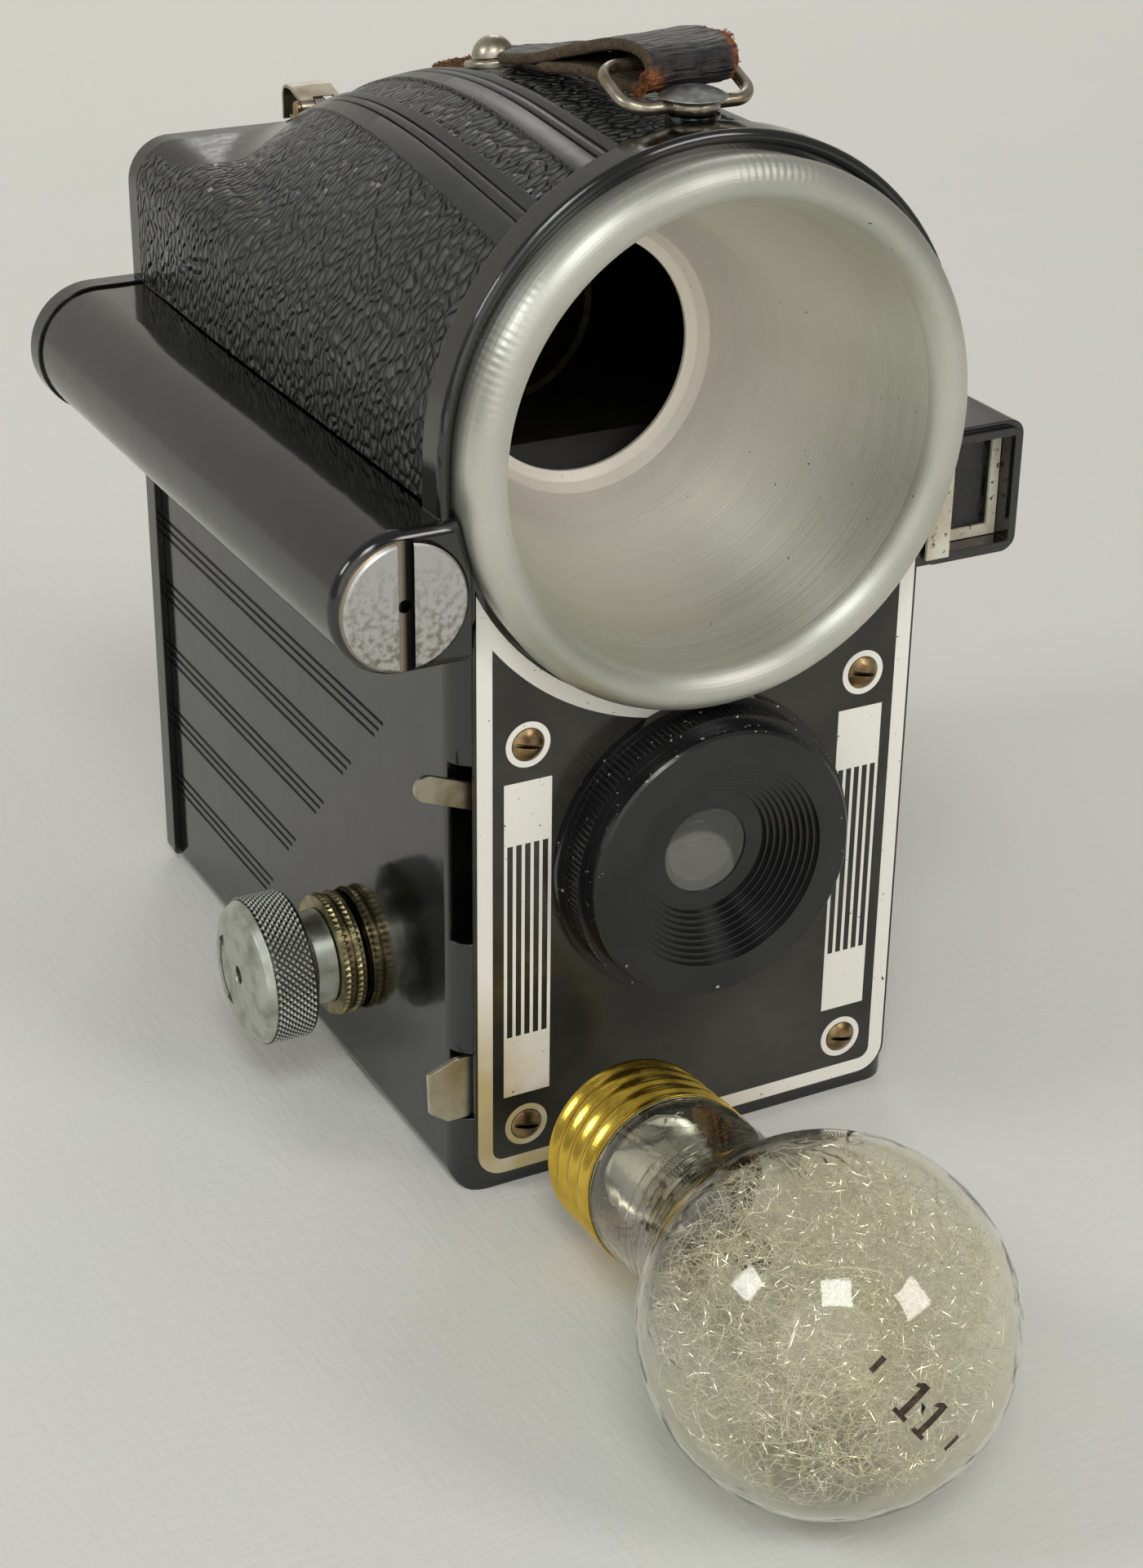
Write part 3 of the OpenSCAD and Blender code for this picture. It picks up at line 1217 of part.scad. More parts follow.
// Rolled brass shell: a wavy wall closed by a narrowing end
module bulb_base() color([0.85, 0.68, 0.25]) bulb_turned() {
    n = 48;
    thread_l = 4 * shell_pitch;
    wave = [for (i = [0:n]) let (s = thread_l * i / n)
        [shell_r - 0.35 + 0.35 * cos(360 * s / shell_pitch), shell_s0 + s]];
    back = [for (i = [n:-1:0]) wave[i] - [0.6, 0]];
    polygon(concat(wave, [[shell_r - 2.4, shell_s0 + shell_l], [shell_r - 3.1, shell_s0 + shell_l],
        [shell_r - 1.2, shell_s0 + thread_l]], back));
}

module bulb_insulator() color([0.1, 0.1, 0.12]) bulb_turned()
    polygon([[0, shell_s0 + shell_l - 0.6], [shell_r - 3.2, shell_s0 + shell_l - 0.6],
        [shell_r - 3.2, shell_s0 + shell_l + 0.3], [5.5, shell_s0 + shell_l + insulator_l],
        [0, shell_s0 + shell_l + insulator_l]]);

module bulb_contact() color([0.75, 0.75, 0.75]) bulb_turned() intersection() {
    translate([0, shell_s0 + shell_l + insulator_l - 4.2]) circle(4.2 + tip_l);
    translate([0, shell_s0 + shell_l + insulator_l]) square([4.4, tip_l + 1]);
}

// Shredded foil, taken together as the thin hollow ball that it fills
module bulb_foil() color([0.85, 0.86, 0.85]) bulb_turned() {
    r = globe_r - bulb_wall - 0.3;
    difference() {
        circle(r);
        circle(r - foil_t);
        translate([-2 * globe_r, -globe_r]) square([2 * globe_r, 2 * globe_r]);
        translate([0, 17]) square([globe_r, globe_r]);
    }
}

// Glass stem with its lead wires and igniter bead
module bulb_stem() color([0.85, 0.88, 0.85, 0.5]) {
    bulb_turned() {
        polygon([[0, 20], [2.4, 20], [2.8, 34], [8, shell_s0 + 4],
            [8, shell_s0 + 5.4], [0, shell_s0 + 5.4]]);
        intersection() {
            translate([0, 8]) circle(1.6);
            translate([0, 6]) square([2, 4]);
        }
    }
    for (s = [-1, 1]) on_bulb_axis() translate([6, s * 1.3, 0]) rotate([0, 90, 0])
        cylinder(r = 0.3, h = 15, $fn = 24);
    on_bulb_axis() translate([6.5, -1.6, 0]) rotate([-90, 0, 0]) cylinder(r = 0.3, h = 3.2, $fn = 24);
}

body_shell();
back_cover();
hinge_pin();
cover_window();
pressure_plate();
pressure_spring();
cover_latch();
latch_pin();
latch_base();
latch_spring();
front_plate();
plate_screws();
lens_bezel();
lens_element();
lens_ring();
aperture_plate();
shutter_plate();
shutter_blade();
shutter_spring();
release_lever();
time_lever();
reflector();
socket_body();
socket_shell();
socket_contact();
socket_bracket();
flash_floor();
contact_strip();
battery_cap();
cap_spring();
battery_front();
battery_rear();
winding_knob();
knob_flange();
wind_shaft();
takeup_spool();
supply_spool();
spool_pins();
film_frame();
film_guides();
finder_mask();
finder_front_lens();
finder_rear_lens();
strap_ring();
ring_washer();
strap_front_rivet();
strap_rear_rivet();
strap_washer();
strap_leather();
strap_stub();
bulb_globe();
bulb_base();
bulb_insulator();
bulb_contact();
bulb_foil();
bulb_stem();
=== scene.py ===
# A moulded box camera with a built-in flash, and the flash bulb that screws into it.
import math
import random
import bpy
from mathutils import Matrix, Vector, noise


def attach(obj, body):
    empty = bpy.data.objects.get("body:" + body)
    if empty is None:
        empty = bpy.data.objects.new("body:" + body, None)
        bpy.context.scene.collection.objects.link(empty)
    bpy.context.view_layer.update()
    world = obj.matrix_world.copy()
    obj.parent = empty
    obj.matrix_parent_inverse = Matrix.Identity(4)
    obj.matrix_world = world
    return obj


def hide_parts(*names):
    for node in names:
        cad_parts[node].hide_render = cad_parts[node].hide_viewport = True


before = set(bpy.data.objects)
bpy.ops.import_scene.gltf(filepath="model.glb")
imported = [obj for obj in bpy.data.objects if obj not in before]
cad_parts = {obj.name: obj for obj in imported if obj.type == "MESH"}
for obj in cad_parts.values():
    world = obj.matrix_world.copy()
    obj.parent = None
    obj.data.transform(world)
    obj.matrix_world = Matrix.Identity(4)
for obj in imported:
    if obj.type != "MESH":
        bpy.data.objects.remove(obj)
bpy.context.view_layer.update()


# The camera stands left of the face, above it, and looks down on it with a long lens.
# It is turned a little about its own line of sight.
azimuth, elevation, roll = (math.radians(d) for d in (-27.91, 26.70, 0.74))
towards_eye = Vector((math.sin(azimuth) * math.cos(elevation),
                      -math.cos(azimuth) * math.cos(elevation), math.sin(elevation)))
level = Vector((math.cos(azimuth), math.sin(azimuth), 0))
upward = towards_eye.cross(level)
across = level * math.cos(roll) + upward * math.sin(roll)
upright = upward * math.cos(roll) - level * math.sin(roll)
eye_at = (-0.18333, -0.36584, 0.23903)
eye = bpy.data.objects.new("eye", bpy.data.cameras.new("eye"))
bpy.context.collection.objects.link(eye)
facing = Matrix((across, upright, towards_eye)).transposed().to_4x4()
eye.matrix_world = Matrix.Translation(eye_at) @ facing
eye.data.sensor_fit = "VERTICAL"
eye.data.sensor_height = 36.0
eye.data.lens = 65.03
eye.data.clip_start = 0.01
bpy.context.scene.camera = eye


# The studio is a pale paper sweep under five soft lights: one high above, one on each side, a
# large dim one behind the camera and one behind the object. The paper has a faint weave, and
# it is coloured lighter towards the back: painted light.
def material(name, color=(0.5, 0.5, 0.5), rough=0.5, metal=0.0, **sockets):
    """A Principled material; sockets are further inputs, written with _ for a space."""
    m = bpy.data.materials.new(name)
    m.use_nodes = True
    shader = m.node_tree.nodes["Principled BSDF"]
    shader.inputs["Base Color"].default_value = (*color, 1)
    shader.inputs["Roughness"].default_value = rough
    shader.inputs["Metallic"].default_value = metal
    for key, value in sockets.items():
        shader.inputs[key.replace("_", " ")].default_value = value
    return m


def add(m, kind, feeds=(), **props):
    """A shader node of m; feeds gives each input its value or the socket that drives it."""
    n = m.node_tree.nodes.new("ShaderNode" + kind)
    for key, value in props.items():
        setattr(n, key, value)
    for key, value in dict(feeds).items():
        if isinstance(value, bpy.types.NodeSocket):
            m.node_tree.links.new(value, n.inputs[key])
        else:
            n.inputs[key].default_value = value
    return n


def drive(m, **sockets):
    """Sockets of m's Principled shader driven by the given outputs."""
    shader = m.node_tree.nodes["Principled BSDF"]
    for key, value in sockets.items():
        m.node_tree.links.new(value, shader.inputs[key.replace("_", " ")])


def calc(m, operation, *values):
    """One sum on numbers or sockets."""
    return add(m, "Math", dict(enumerate(values)), operation=operation).outputs[0]


def place(m, scale=(1, 1, 1), turn=(0, 0, 0), move=(0, 0, 0)):
    """Object coordinates in millimetres, moved, turned and stretched."""
    here = add(m, "TexCoord").outputs["Object"]
    here = add(m, "Mapping", {0: here, 3: (1000, 1000, 1000)}).outputs[0]
    return add(m, "Mapping", {0: here, 1: move, 2: turn, 3: scale}).outputs[0]


def cloud(m, where, scale, detail=2.0):
    return add(m, "TexNoise", {"Vector": where, "Scale": scale, "Detail": detail}).outputs[0]


def spots(m, where, scale, detail=2.0, low=0.4, high=0.6):
    """Cloudy patches from 0 to 1."""
    return add(m, "MapRange", {0: cloud(m, where, scale, detail), 1: low, 2: high}).outputs[0]


def tint(m, fac, a, b):
    """Colour a where fac is 0, b where it is 1."""
    mix = add(m, "Mix", data_type="RGBA")
    for slot, value in ((0, fac), (6, a), (7, b)):
        if isinstance(value, bpy.types.NodeSocket):
            m.node_tree.links.new(value, mix.inputs[slot])
        else:
            mix.inputs[slot].default_value = (*value, 1)
    return mix.outputs[2]


def span(m, fac, a, b):
    """The number a where fac is 0, b where it is 1."""
    return add(m, "MapRange", {0: fac, 3: a, 4: b}).outputs[0]


def relief(m, height, depth, normal=None):
    """Bump of the given depth in metres, on top of another normal."""
    feeds = {"Height": height, "Distance": depth, "Strength": 1.0}
    if normal is not None:
        feeds["Normal"] = normal
    return add(m, "Bump", feeds).outputs[0]


paper = material("paper", (0.80, 0.79, 0.75), 0.8)
lay = place(paper)
weave = calc(paper, "ADD", cloud(paper, place(paper, (0.9, 0.16, 0.9)), 1.0, 3.0),
             cloud(paper, place(paper, (0.16, 0.9, 0.9)), 1.0, 3.0))
near = tint(paper, spots(paper, lay, 0.012, 3.0, 0.35, 0.65),
            (0.79, 0.80, 0.745), (0.82, 0.79, 0.75))
back = add(paper, "SeparateXYZ", {0: lay}).outputs[1]
# Painted light: the paper is coloured lighter towards the back.
painted_light_to_back = add(paper, "MapRange", {0: back, 1: -100.0, 2: 700.0}).outputs[0]
drive(paper, Base_Color=tint(paper, painted_light_to_back, near, (0.985, 0.965, 0.905)),
      Normal=relief(paper, weave, 0.00010))
bpy.ops.mesh.primitive_grid_add(x_subdivisions=2, y_subdivisions=40, size=1, location=(0, 0, 0))
sweep = bpy.context.object
sweep.name = "paper_sweep"
flat_share, curve_share, curve_r = 0.6, 0.35, 0.6
for v in sweep.data.vertices:
    t = v.co.y + 0.5
    v.co.x *= 6
    bend = max(0.0, t - flat_share) / 0.4
    angle = min(bend / curve_share, 1.0) * math.pi / 2
    v.co.y = -2.5 + min(t, flat_share) / flat_share * 3.7 + curve_r * math.sin(angle)
    v.co.z = curve_r * (1 - math.cos(angle)) + max(0.0, bend - curve_share) * 4
sweep.data.materials.append(paper)
bpy.ops.object.shade_smooth()

world = bpy.data.worlds.new("room")
bpy.context.scene.world = world
world.use_nodes = True
world.node_tree.nodes["Background"].inputs[0].default_value = (0.95, 0.96, 0.94, 1)
world.node_tree.nodes["Background"].inputs[1].default_value = 0.29
lamps = (("ceiling", (-0.43, -0.88, 1.22), 0.42, 4.6, (0.94, 1.0, 0.96)),
         ("window", (-1.25, 0.15, 0.95), 0.4, 4.0, (0.97, 1.0, 1.0)),
         ("softbox", (0.62, -1.15, 0.92), 0.45, 4.4, (1.0, 0.95, 0.94)),
         ("room", (-1.2, -1.9, 0.9), 2.6, 14.0, (1.0, 0.98, 0.95)),
         ("rear_window", (0.82, 1.50, 1.08), 0.6, 3.7, (1.0, 0.98, 0.96)))
for name, where, size, watts, color in lamps:
    lamp = bpy.data.objects.new(name, bpy.data.lights.new(name, "AREA"))
    bpy.context.collection.objects.link(lamp)
    lamp.data.size = size
    lamp.data.shape = "DISK" if name == "room" else "SQUARE"
    lamp.data.energy = watts
    lamp.data.color = color
    lamp.location = where
    lamp.rotation_euler = (Vector((0, 0, 0.07)) - Vector(where)).to_track_quat("-Z", "Y").to_euler()
bpy.context.scene.view_settings.view_transform = "Standard"


# The case is one black moulding. Its crown carries a pressed leather-like grain, with pairs of
# smooth rails that run back and close up behind the strap. Sides and tube have no grain.
def soft_edges(m, radius=0.35, samples=4):
    return add(m, "Bevel", {"Radius": radius / 1000}, samples=samples).outputs[0]


def dress(m, *names):
    """Carried-over solids get their finish."""
    for name in names:
        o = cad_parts[name]
        o.data.materials.clear()
        o.data.materials.append(m)


bakelite = material("bakelite", (0.006, 0.0065, 0.0065), 0.2, IOR=1.75)
at = place(bakelite)
dust = spots(bakelite, at, 0.06, 5.0, 0.38, 0.72)
wear = cloud(bakelite, at, 1.6, 5.0)
drive(bakelite, Base_Color=tint(bakelite, dust, (0.0004, 0.0005, 0.0005), (0.004, 0.0045, 0.004)),
      Roughness=span(bakelite, wear, 0.06, 0.17),
      Normal=relief(bakelite, cloud(bakelite, at, 0.1, 2.0), 0.00010, soft_edges(bakelite)))
dress(bakelite, "body_shell", "back_cover")

# The crown is an arch round a middle line at crown_z. Behind fall_y its top falls off round a
# long circle. Sizes of pieces are in millimetres.
crown_z, crown_r = 104, 38.3
crown_front, crown_back = -56.2, 57
fall_y, fall_z, fall_r = -30, -56.7, 168.7


def crown_radius(angle, y):
    """Distance at y from the crown's middle line to its skin, at an angle from +X."""
    c, s = math.cos(angle), math.sin(angle)

    def arch(r):
        x, z = r * c, crown_z + r * s
        level = 112
        rise = z - level if y < fall_y else math.hypot(y - fall_y, z - fall_z) - fall_r
        return max(abs(x) - crown_r, math.hypot(x, max(rise, 0)) - crown_r)

    def shoulders(r):
        x, z = abs(r * c), crown_z + r * s
        top = 128.3 - (crown_back - y) * math.tan(math.radians(3.5))
        corner = 7
        dx, dz = x - 31.3, z - (top - corner)
        if dx > 0 and dz > 0:
            return math.hypot(dx, dz) - corner
        return max(x - crown_r, z - top)

    found = []
    for shape in (arch, shoulders):
        low, high = 5.0, 60.0
        for _ in range(26):
            mid = (low + high) / 2
            low, high = (mid, high) if shape(mid) < 0 else (low, mid)
        found.append(low)
    a, b = found
    blend = 3.2
    h = max(blend - abs(a - b), 0) / blend
    return max(a, b) + h * h * blend / 4


def crown_columns(t):
    """Angles of the skin's columns for a row at t, from 0 at the face to 1 at the back, with
    the height and the grain of each: rails are proud and smooth, their two grooves are cut in."""
    def at(x0, x1):
        """The angle at which the skin stands x0 from the middle at the face, x1 at the back."""
        return math.acos(max(-1, min(1, -(x0 + (x1 - x0) * t) / crown_r)))

    outer, outer_in = at(24.5, 15.6), at(19.0, 10.9)
    inner, inner_in = at(14.5, 5.6), at(8.6, 0.9)
    half = []

    def run(a, b, n, grain):
        for i in range(n):
            half.append((a + (b - a) * i / n, 0.0, grain))

    def rail(a, b):
        proud, brim, sunk = 0.42, 0.34, -0.22
        cut = ((0.0, proud), (0.012, brim), (0.028, sunk),
               (0.052, sunk), (0.068, brim), (0.08, proud))
        steps = [(0.0, 0.0, 1), (0.03, proud, 0)]
        for groove in (0.45, 0.68):
            steps += [(groove + f, lift, 0) for f, lift in cut]
        for f, lift, grain in steps + [(0.97, proud, 0), (1.0, 0.0, 1)]:
            half.append((a + (b - a) * f, lift, grain))

    run(math.pi - 0.06, outer, 40, 1)
    rail(outer, outer_in)
    run(outer_in, inner, 6, 1)
    rail(inner, inner_in)
    run(inner_in, math.pi / 2, 5, 1)
    return half + [(math.pi / 2, 0.0, 1)] + [(math.pi - a, l, g) for a, l, g in reversed(half)]


def outwards(push=None):
    """Turns the active piece's faces outwards; push gives it thickness first."""
    bpy.ops.object.mode_set(mode="EDIT")
    bpy.ops.mesh.select_all(action="SELECT")
    if push:
        bpy.ops.mesh.extrude_region_move(TRANSFORM_OT_translate={"value": push})
        bpy.ops.mesh.select_all(action="SELECT")
    bpy.ops.mesh.normals_make_consistent(inside=False)
    bpy.ops.object.mode_set(mode="OBJECT")


steps = 134
rows = [crown_front + i * (crown_back - crown_front) / steps for i in range(steps + 1)]
count = len(crown_columns(0))
bpy.ops.object.select_all(action="DESELECT")
bpy.ops.mesh.primitive_grid_add(x_subdivisions=count - 1, y_subdivisions=len(rows) - 1, size=2)
crown = bpy.context.object
crown.name = "crown_skin"
grain_of = crown.data.attributes.new("grain", "FLOAT", "POINT")
skin = 0.12
length = {}
for j, y in enumerate(rows):
    t = (y + 55) / 112
    ends = min(1, (y - crown_front) / 1.4) * min(1, (57.6 - y) / 3.0)
    before, total = None, 0.0
    for i, (angle, lift, grain) in enumerate(crown_columns(t)):
        r = crown_radius(angle, y) + skin + lift * ends
        p = Vector((r * math.cos(angle), y, crown_z + r * math.sin(angle)))
        total += (p - before).length if before is not None else 0.0
        before = p
        crown.data.vertices[j * count + i].co = p / 1000
        flat = 1
        for into_flat in ((y - 38) / 6, (abs(p.x) - 9) / 4, (p.z - 125.2) / 1.4):
            flat *= min(1, max(0, into_flat))
        grain_of.data[j * count + i].value = grain * (1 - flat) * min(1, (y - crown_front) / 1.2)
        length[j * count + i] = total
uv = crown.data.uv_layers.active or crown.data.uv_layers.new(name="skin")
for loop in crown.data.loops:
    j = loop.vertex_index // count
    uv.data[loop.index].uv = (length[loop.vertex_index] - length[j * count + count // 2], rows[j])
outwards()
bpy.ops.object.shade_smooth_by_angle(angle=math.radians(50))

grained = material("grained_bakelite", (0.006, 0.0065, 0.0065), 0.3, IOR=1.52)
on_skin = add(grained, "TexCoord").outputs["UV"]
wander = add(grained, "TexNoise", {"Vector": on_skin, "Scale": 0.09, "Detail": 1.0})
shift = add(grained, "VectorMath", {0: wander.outputs["Color"], 1: (4.0, 4.0, 0)},
            operation="MULTIPLY").outputs[0]
bent = add(grained, "VectorMath", {0: on_skin, 1: shift}, operation="ADD").outputs[0]
lay = add(grained, "Mapping", {0: bent, 2: (0, 0, math.radians(9))}).outputs[0]
lay = add(grained, "Mapping", {0: lay, 3: (0.40, 0.67, 1)}).outputs[0]
pebble = add(grained, "TexVoronoi", {"Vector": lay, "Scale": 1.0, "Randomness": 1.0},
             voronoi_dimensions="2D", feature="DISTANCE_TO_EDGE").outputs[0]
dome = add(grained, "MapRange", {0: pebble, 1: 0.02, 2: 0.36},
           interpolation_type="SMOOTHSTEP").outputs[0]
lumps = calc(grained, "MULTIPLY_ADD", cloud(grained, lay, 1.1, 1.0), 0.25, dome)
rails = add(grained, "Attribute", attribute_name="grain").outputs["Fac"]
fine = cloud(grained, place(grained), 2.5, 4.0)
back = add(grained, "SeparateXYZ", {0: place(grained)}).outputs[1]
smooth_back = add(grained, "MapRange", {0: back, 1: 30.0, 2: 40.0, 4: 0.18}).outputs[0]
# On the grain the gaps are coloured near-black and the domes lighter: painted shade in the gaps and
# a painted sheen on the domes.
drive(grained, Normal=relief(grained, calc(grained, "MULTIPLY", lumps, rails), 0.00105,
                             relief(grained, cloud(grained, place(grained), 0.3, 2.0), 0.00008)),
      Base_Color=tint(grained, rails, (0.012, 0.0125, 0.012),
                      tint(grained, dome, (0.0001, 0.0001, 0.0001), (0.056, 0.0585, 0.054))),
      Roughness=calc(grained, "SUBTRACT", span(grained, fine, 0.30, 0.44), smooth_back))
crown.data.materials.append(grained)
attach(crown, "case")


# The back cover carries the film-number window and a sprung plate that keeps the film flat.
# It hangs on a steel pin at its lower edge.
def worn(name, bright, dull, rough, metal=1.0, scale=0.3, depth=0.00002, radius=0.12):
    """A metal or paint in two mixed shades with fine marks and softened edges."""
    m = material(name, bright, rough, metal)
    at = place(m)
    marks = cloud(m, at, 2.6, 5.0)
    drive(m, Base_Color=tint(m, spots(m, at, scale, 4.0, 0.38, 0.66), dull, bright),
          Roughness=span(m, marks, rough - 0.1, rough + 0.14),
          Normal=relief(m, marks, depth, soft_edges(m, radius)))
    return m


def around(m, axis, a, b):
    """Angle, radius, place along and direction from a turned piece's axis, which stands at a, b."""
    parts = add(m, "SeparateXYZ", {0: place(m)}).outputs
    i, j, k = {"X": (1, 2, 0), "Y": (0, 2, 1)}[axis]
    u = calc(m, "SUBTRACT", parts[i], a)
    v = calc(m, "SUBTRACT", parts[j], b)
    out = add(m, "CombineXYZ", {0: u, 1: v}).outputs[0]
    far = add(m, "VectorMath", {0: out}, operation="LENGTH").outputs["Value"]
    unit = add(m, "VectorMath", {0: out}, operation="NORMALIZE").outputs[0]
    return calc(m, "ARCTAN2", v, u), far, parts[k], unit


def lathe_lines(m, far, unit, pitch, swing=0.5, detail=3.0):
    """Noise that runs round the axis like the marks of a lathe."""
    ring = add(m, "CombineXYZ", {0: calc(m, "MULTIPLY", far, pitch)}).outputs[0]
    where = add(m, "VectorMath", {0: unit, 1: (swing, swing, swing), 2: ring},
                operation="MULTIPLY_ADD")
    return cloud(m, where.outputs[0], 1.0, detail)


spring_steel = worn("spring_steel", (0.50, 0.50, 0.49), (0.33, 0.32, 0.30), 0.32)
blued_steel = worn("blued_steel", (0.075, 0.077, 0.085), (0.035, 0.035, 0.038), 0.45, 0.6)
red_celluloid = material("red_celluloid", (0.55, 0.03, 0.02), 0.15,
                         Transmission_Weight=0.7, IOR=1.49)
at = place(red_celluloid)
drive(red_celluloid, Roughness=span(red_celluloid, cloud(red_celluloid, at, 0.8, 4.0), 0.08, 0.3),
      Base_Color=tint(red_celluloid, spots(red_celluloid, at, 0.25),
                      (0.5, 0.02, 0.015), (0.62, 0.05, 0.03)))
dress(red_celluloid, "cover_window")
dress(blued_steel, "pressure_plate")
dress(spring_steel, "hinge_pin", "pressure_spring")


# The catch on the crown's rear edge is a bent hood of nickelled brass on a brass foot, pushed
# down by a coil of steel wire round its pin.
old_nickel = worn("old_nickel", (0.52, 0.48, 0.39), (0.30, 0.25, 0.17), 0.33,
                  scale=0.22, depth=0.00003)
rubbed_brass = worn("rubbed_brass", (0.55, 0.44, 0.24), (0.26, 0.18, 0.08), 0.36, scale=0.5)
dress(old_nickel, "cover_latch")
dress(rubbed_brass, "latch_pin", "latch_base")
dress(spring_steel, "latch_spring")


# The front plate is stamped sheet in black enamel, printed in off-white: a border along its
# edge, a ring round each screw, and a block with a striped middle on each side of the lens.
enamel = material("black_enamel", (0.02, 0.018, 0.016), 0.24, Specular_IOR_Level=0.5)
at = place(enamel)
haze = spots(enamel, at, 0.05, 4.0, 0.35, 0.7)
drive(enamel, Base_Color=tint(enamel, haze, (0.018, 0.0175, 0.0135), (0.050, 0.047, 0.037)),
      Roughness=span(enamel, cloud(enamel, at, 1.2, 5.0), 0.08, 0.24),
      Normal=relief(enamel, cloud(enamel, at, 2.2, 2.0), 0.00001, soft_edges(enamel, 0.25)))
dress(enamel, "front_plate")
bowl_z = 111.5


def plate_edge(d):
    """Outline of the plate in X and Z, drawn in by d, as three runs of points."""
    x, low, r = 35 - d, 2.3 + d, max(4.5 - d, 0.8)
    corner = [(x - r + r * math.cos(a), low + r - r * math.sin(a))
              for a in (math.pi / 2 * i / 8 for i in range(9))]
    bottom = [(-px, pz) for px, pz in corner] + corner[::-1]
    reach = crown_r + d
    side = math.acos(x / reach)
    hollow = [(reach * math.cos(a), bowl_z - reach * math.sin(a))
              for a in (side + (math.pi - 2 * side) * i / 40 for i in range(41))]
    return bottom + hollow


full_turn = [math.tau * i / 48 for i in range(48)]


def hoop(x, z, r):
    """A ring of points round x, z."""
    return [(x + r * math.cos(a), z + r * math.sin(a)) for a in full_turn]


def pick(o):
    bpy.ops.object.select_all(action="DESELECT")
    o.select_set(True)
    bpy.context.view_layer.objects.active = o


def meshed(name, verts, faces):
    """A new piece from points in metres; it ends up picked."""
    mesh = bpy.data.meshes.new(name)
    mesh.from_pydata(verts, [], faces)
    o = bpy.data.objects.new(name, mesh)
    bpy.context.collection.objects.link(o)
    pick(o)
    return o


def printed(name, bands):
    """A thin coat of ink between pairs of outlines that have equal numbers of points."""
    y, thick = -57.83, 0.05
    verts, faces = [], []
    for outer, inner in bands:
        n, k = len(outer), len(verts)
        verts += [(px / 1000, y / 1000, pz / 1000) for px, pz in outer + inner]
        faces += [(k + i, k + (i + 1) % n, k + n + (i + 1) % n, k + n + i) for i in range(n)]
    o = meshed(name, verts, faces)
    outwards((0, thick / 1000, 0))
    return o


def boxed(name, boxes):
    """Plain boxes, each given by its low and high corner in millimetres, joined in one piece."""
    made = []
    for a, b in boxes:
        bpy.ops.object.select_all(action="DESELECT")
        bpy.ops.mesh.primitive_cube_add(size=0.001, location=[(p + q) / 2000 for p, q in zip(a, b)],
                                        scale=[q - p for p, q in zip(a, b)])
        bpy.ops.object.transform_apply(location=True, rotation=True, scale=True)
        made.append(bpy.context.object)
    for o in made:
        o.select_set(True)
    bpy.context.view_layer.objects.active = made[0]
    bpy.ops.object.join()
    made[0].name = name
    return made[0]


ink = material("off_white_ink", (0.78, 0.75, 0.66), 0.45)
at = place(ink)
x, y, z = add(ink, "SeparateXYZ", {0: at}).outputs
aged = add(ink, "MapRange", {0: calc(ink, "MULTIPLY_ADD", x, 0.6, z), 1: 16.0, 2: -2.0}).outputs[0]
aged = calc(ink, "MULTIPLY", aged, spots(ink, at, 0.06, 3.0, 0.2, 0.45))
shade = tint(ink, aged, (0.95, 0.92, 0.85), (0.56, 0.45, 0.23))
chips = spots(ink, at, 1.1, 5.0, 0.70, 0.73)
drive(ink, Base_Color=tint(ink, chips, shade, (0.05, 0.045, 0.04)),
      Roughness=span(ink, cloud(ink, at, 1.5, 3.0), 0.35, 0.55),
      Normal=relief(ink, cloud(ink, at, 3.0, 3.0), 0.00001))
border = printed("plate_border", [(plate_edge(0.35), plate_edge(2.7))])
screws_at = [(x, z) for x in (-26.9, 26.9) for z in (10, 71.2)]
screw_rings = printed("screw_rings", [(hoop(x, z, 3.4), hoop(x, z, 2.5)) for x, z in screws_at])
blocks = []
front, back, stripe = -57.84, -57.78, 0.5
for s in (-1, 1):
    a, b = sorted((s * 23.2, s * 30.55))
    blocks += [((a, front, 56.1), (b, back, 65.7)), ((a, front, 15.4), (b, back, 25.3))]
    for i in range(6):
        left = a + i * (7.35 - stripe) / 5
        blocks.append(((left, front, 25.3), (left + stripe, back, 56.1)))
side_blocks = boxed("side_blocks", blocks)
for o in (border, screw_rings, side_blocks):
    o.data.materials.append(ink)
    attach(o, "case")

screw_brass = material("screw_brass", (0.42, 0.29, 0.14), 0.34, 1.0)
at = place(screw_brass)
# Painted shade: hollows such as the screw slots are coloured near-black by ambient occlusion.
hollow = add(screw_brass, "AmbientOcclusion", {"Distance": 0.0012}, samples=8).outputs["AO"]
clear_of_painted_shade = add(screw_brass, "MapRange", {0: hollow, 1: 0.45, 2: 0.85}).outputs[0]
brassy = tint(screw_brass, spots(screw_brass, at, 0.45, 4.0, 0.38, 0.66),
              (0.16, 0.10, 0.05), (0.46, 0.32, 0.16))
drive(screw_brass, Base_Color=tint(screw_brass, clear_of_painted_shade, (0.008, 0.006, 0.004), brassy),
      Roughness=span(screw_brass, cloud(screw_brass, at, 2.6, 5.0), 0.24, 0.48),
      Normal=relief(screw_brass, cloud(screw_brass, at, 2.6, 5.0), 0.00004,
                    soft_edges(screw_brass, 0.12)))
dress(screw_brass, "plate_screws")


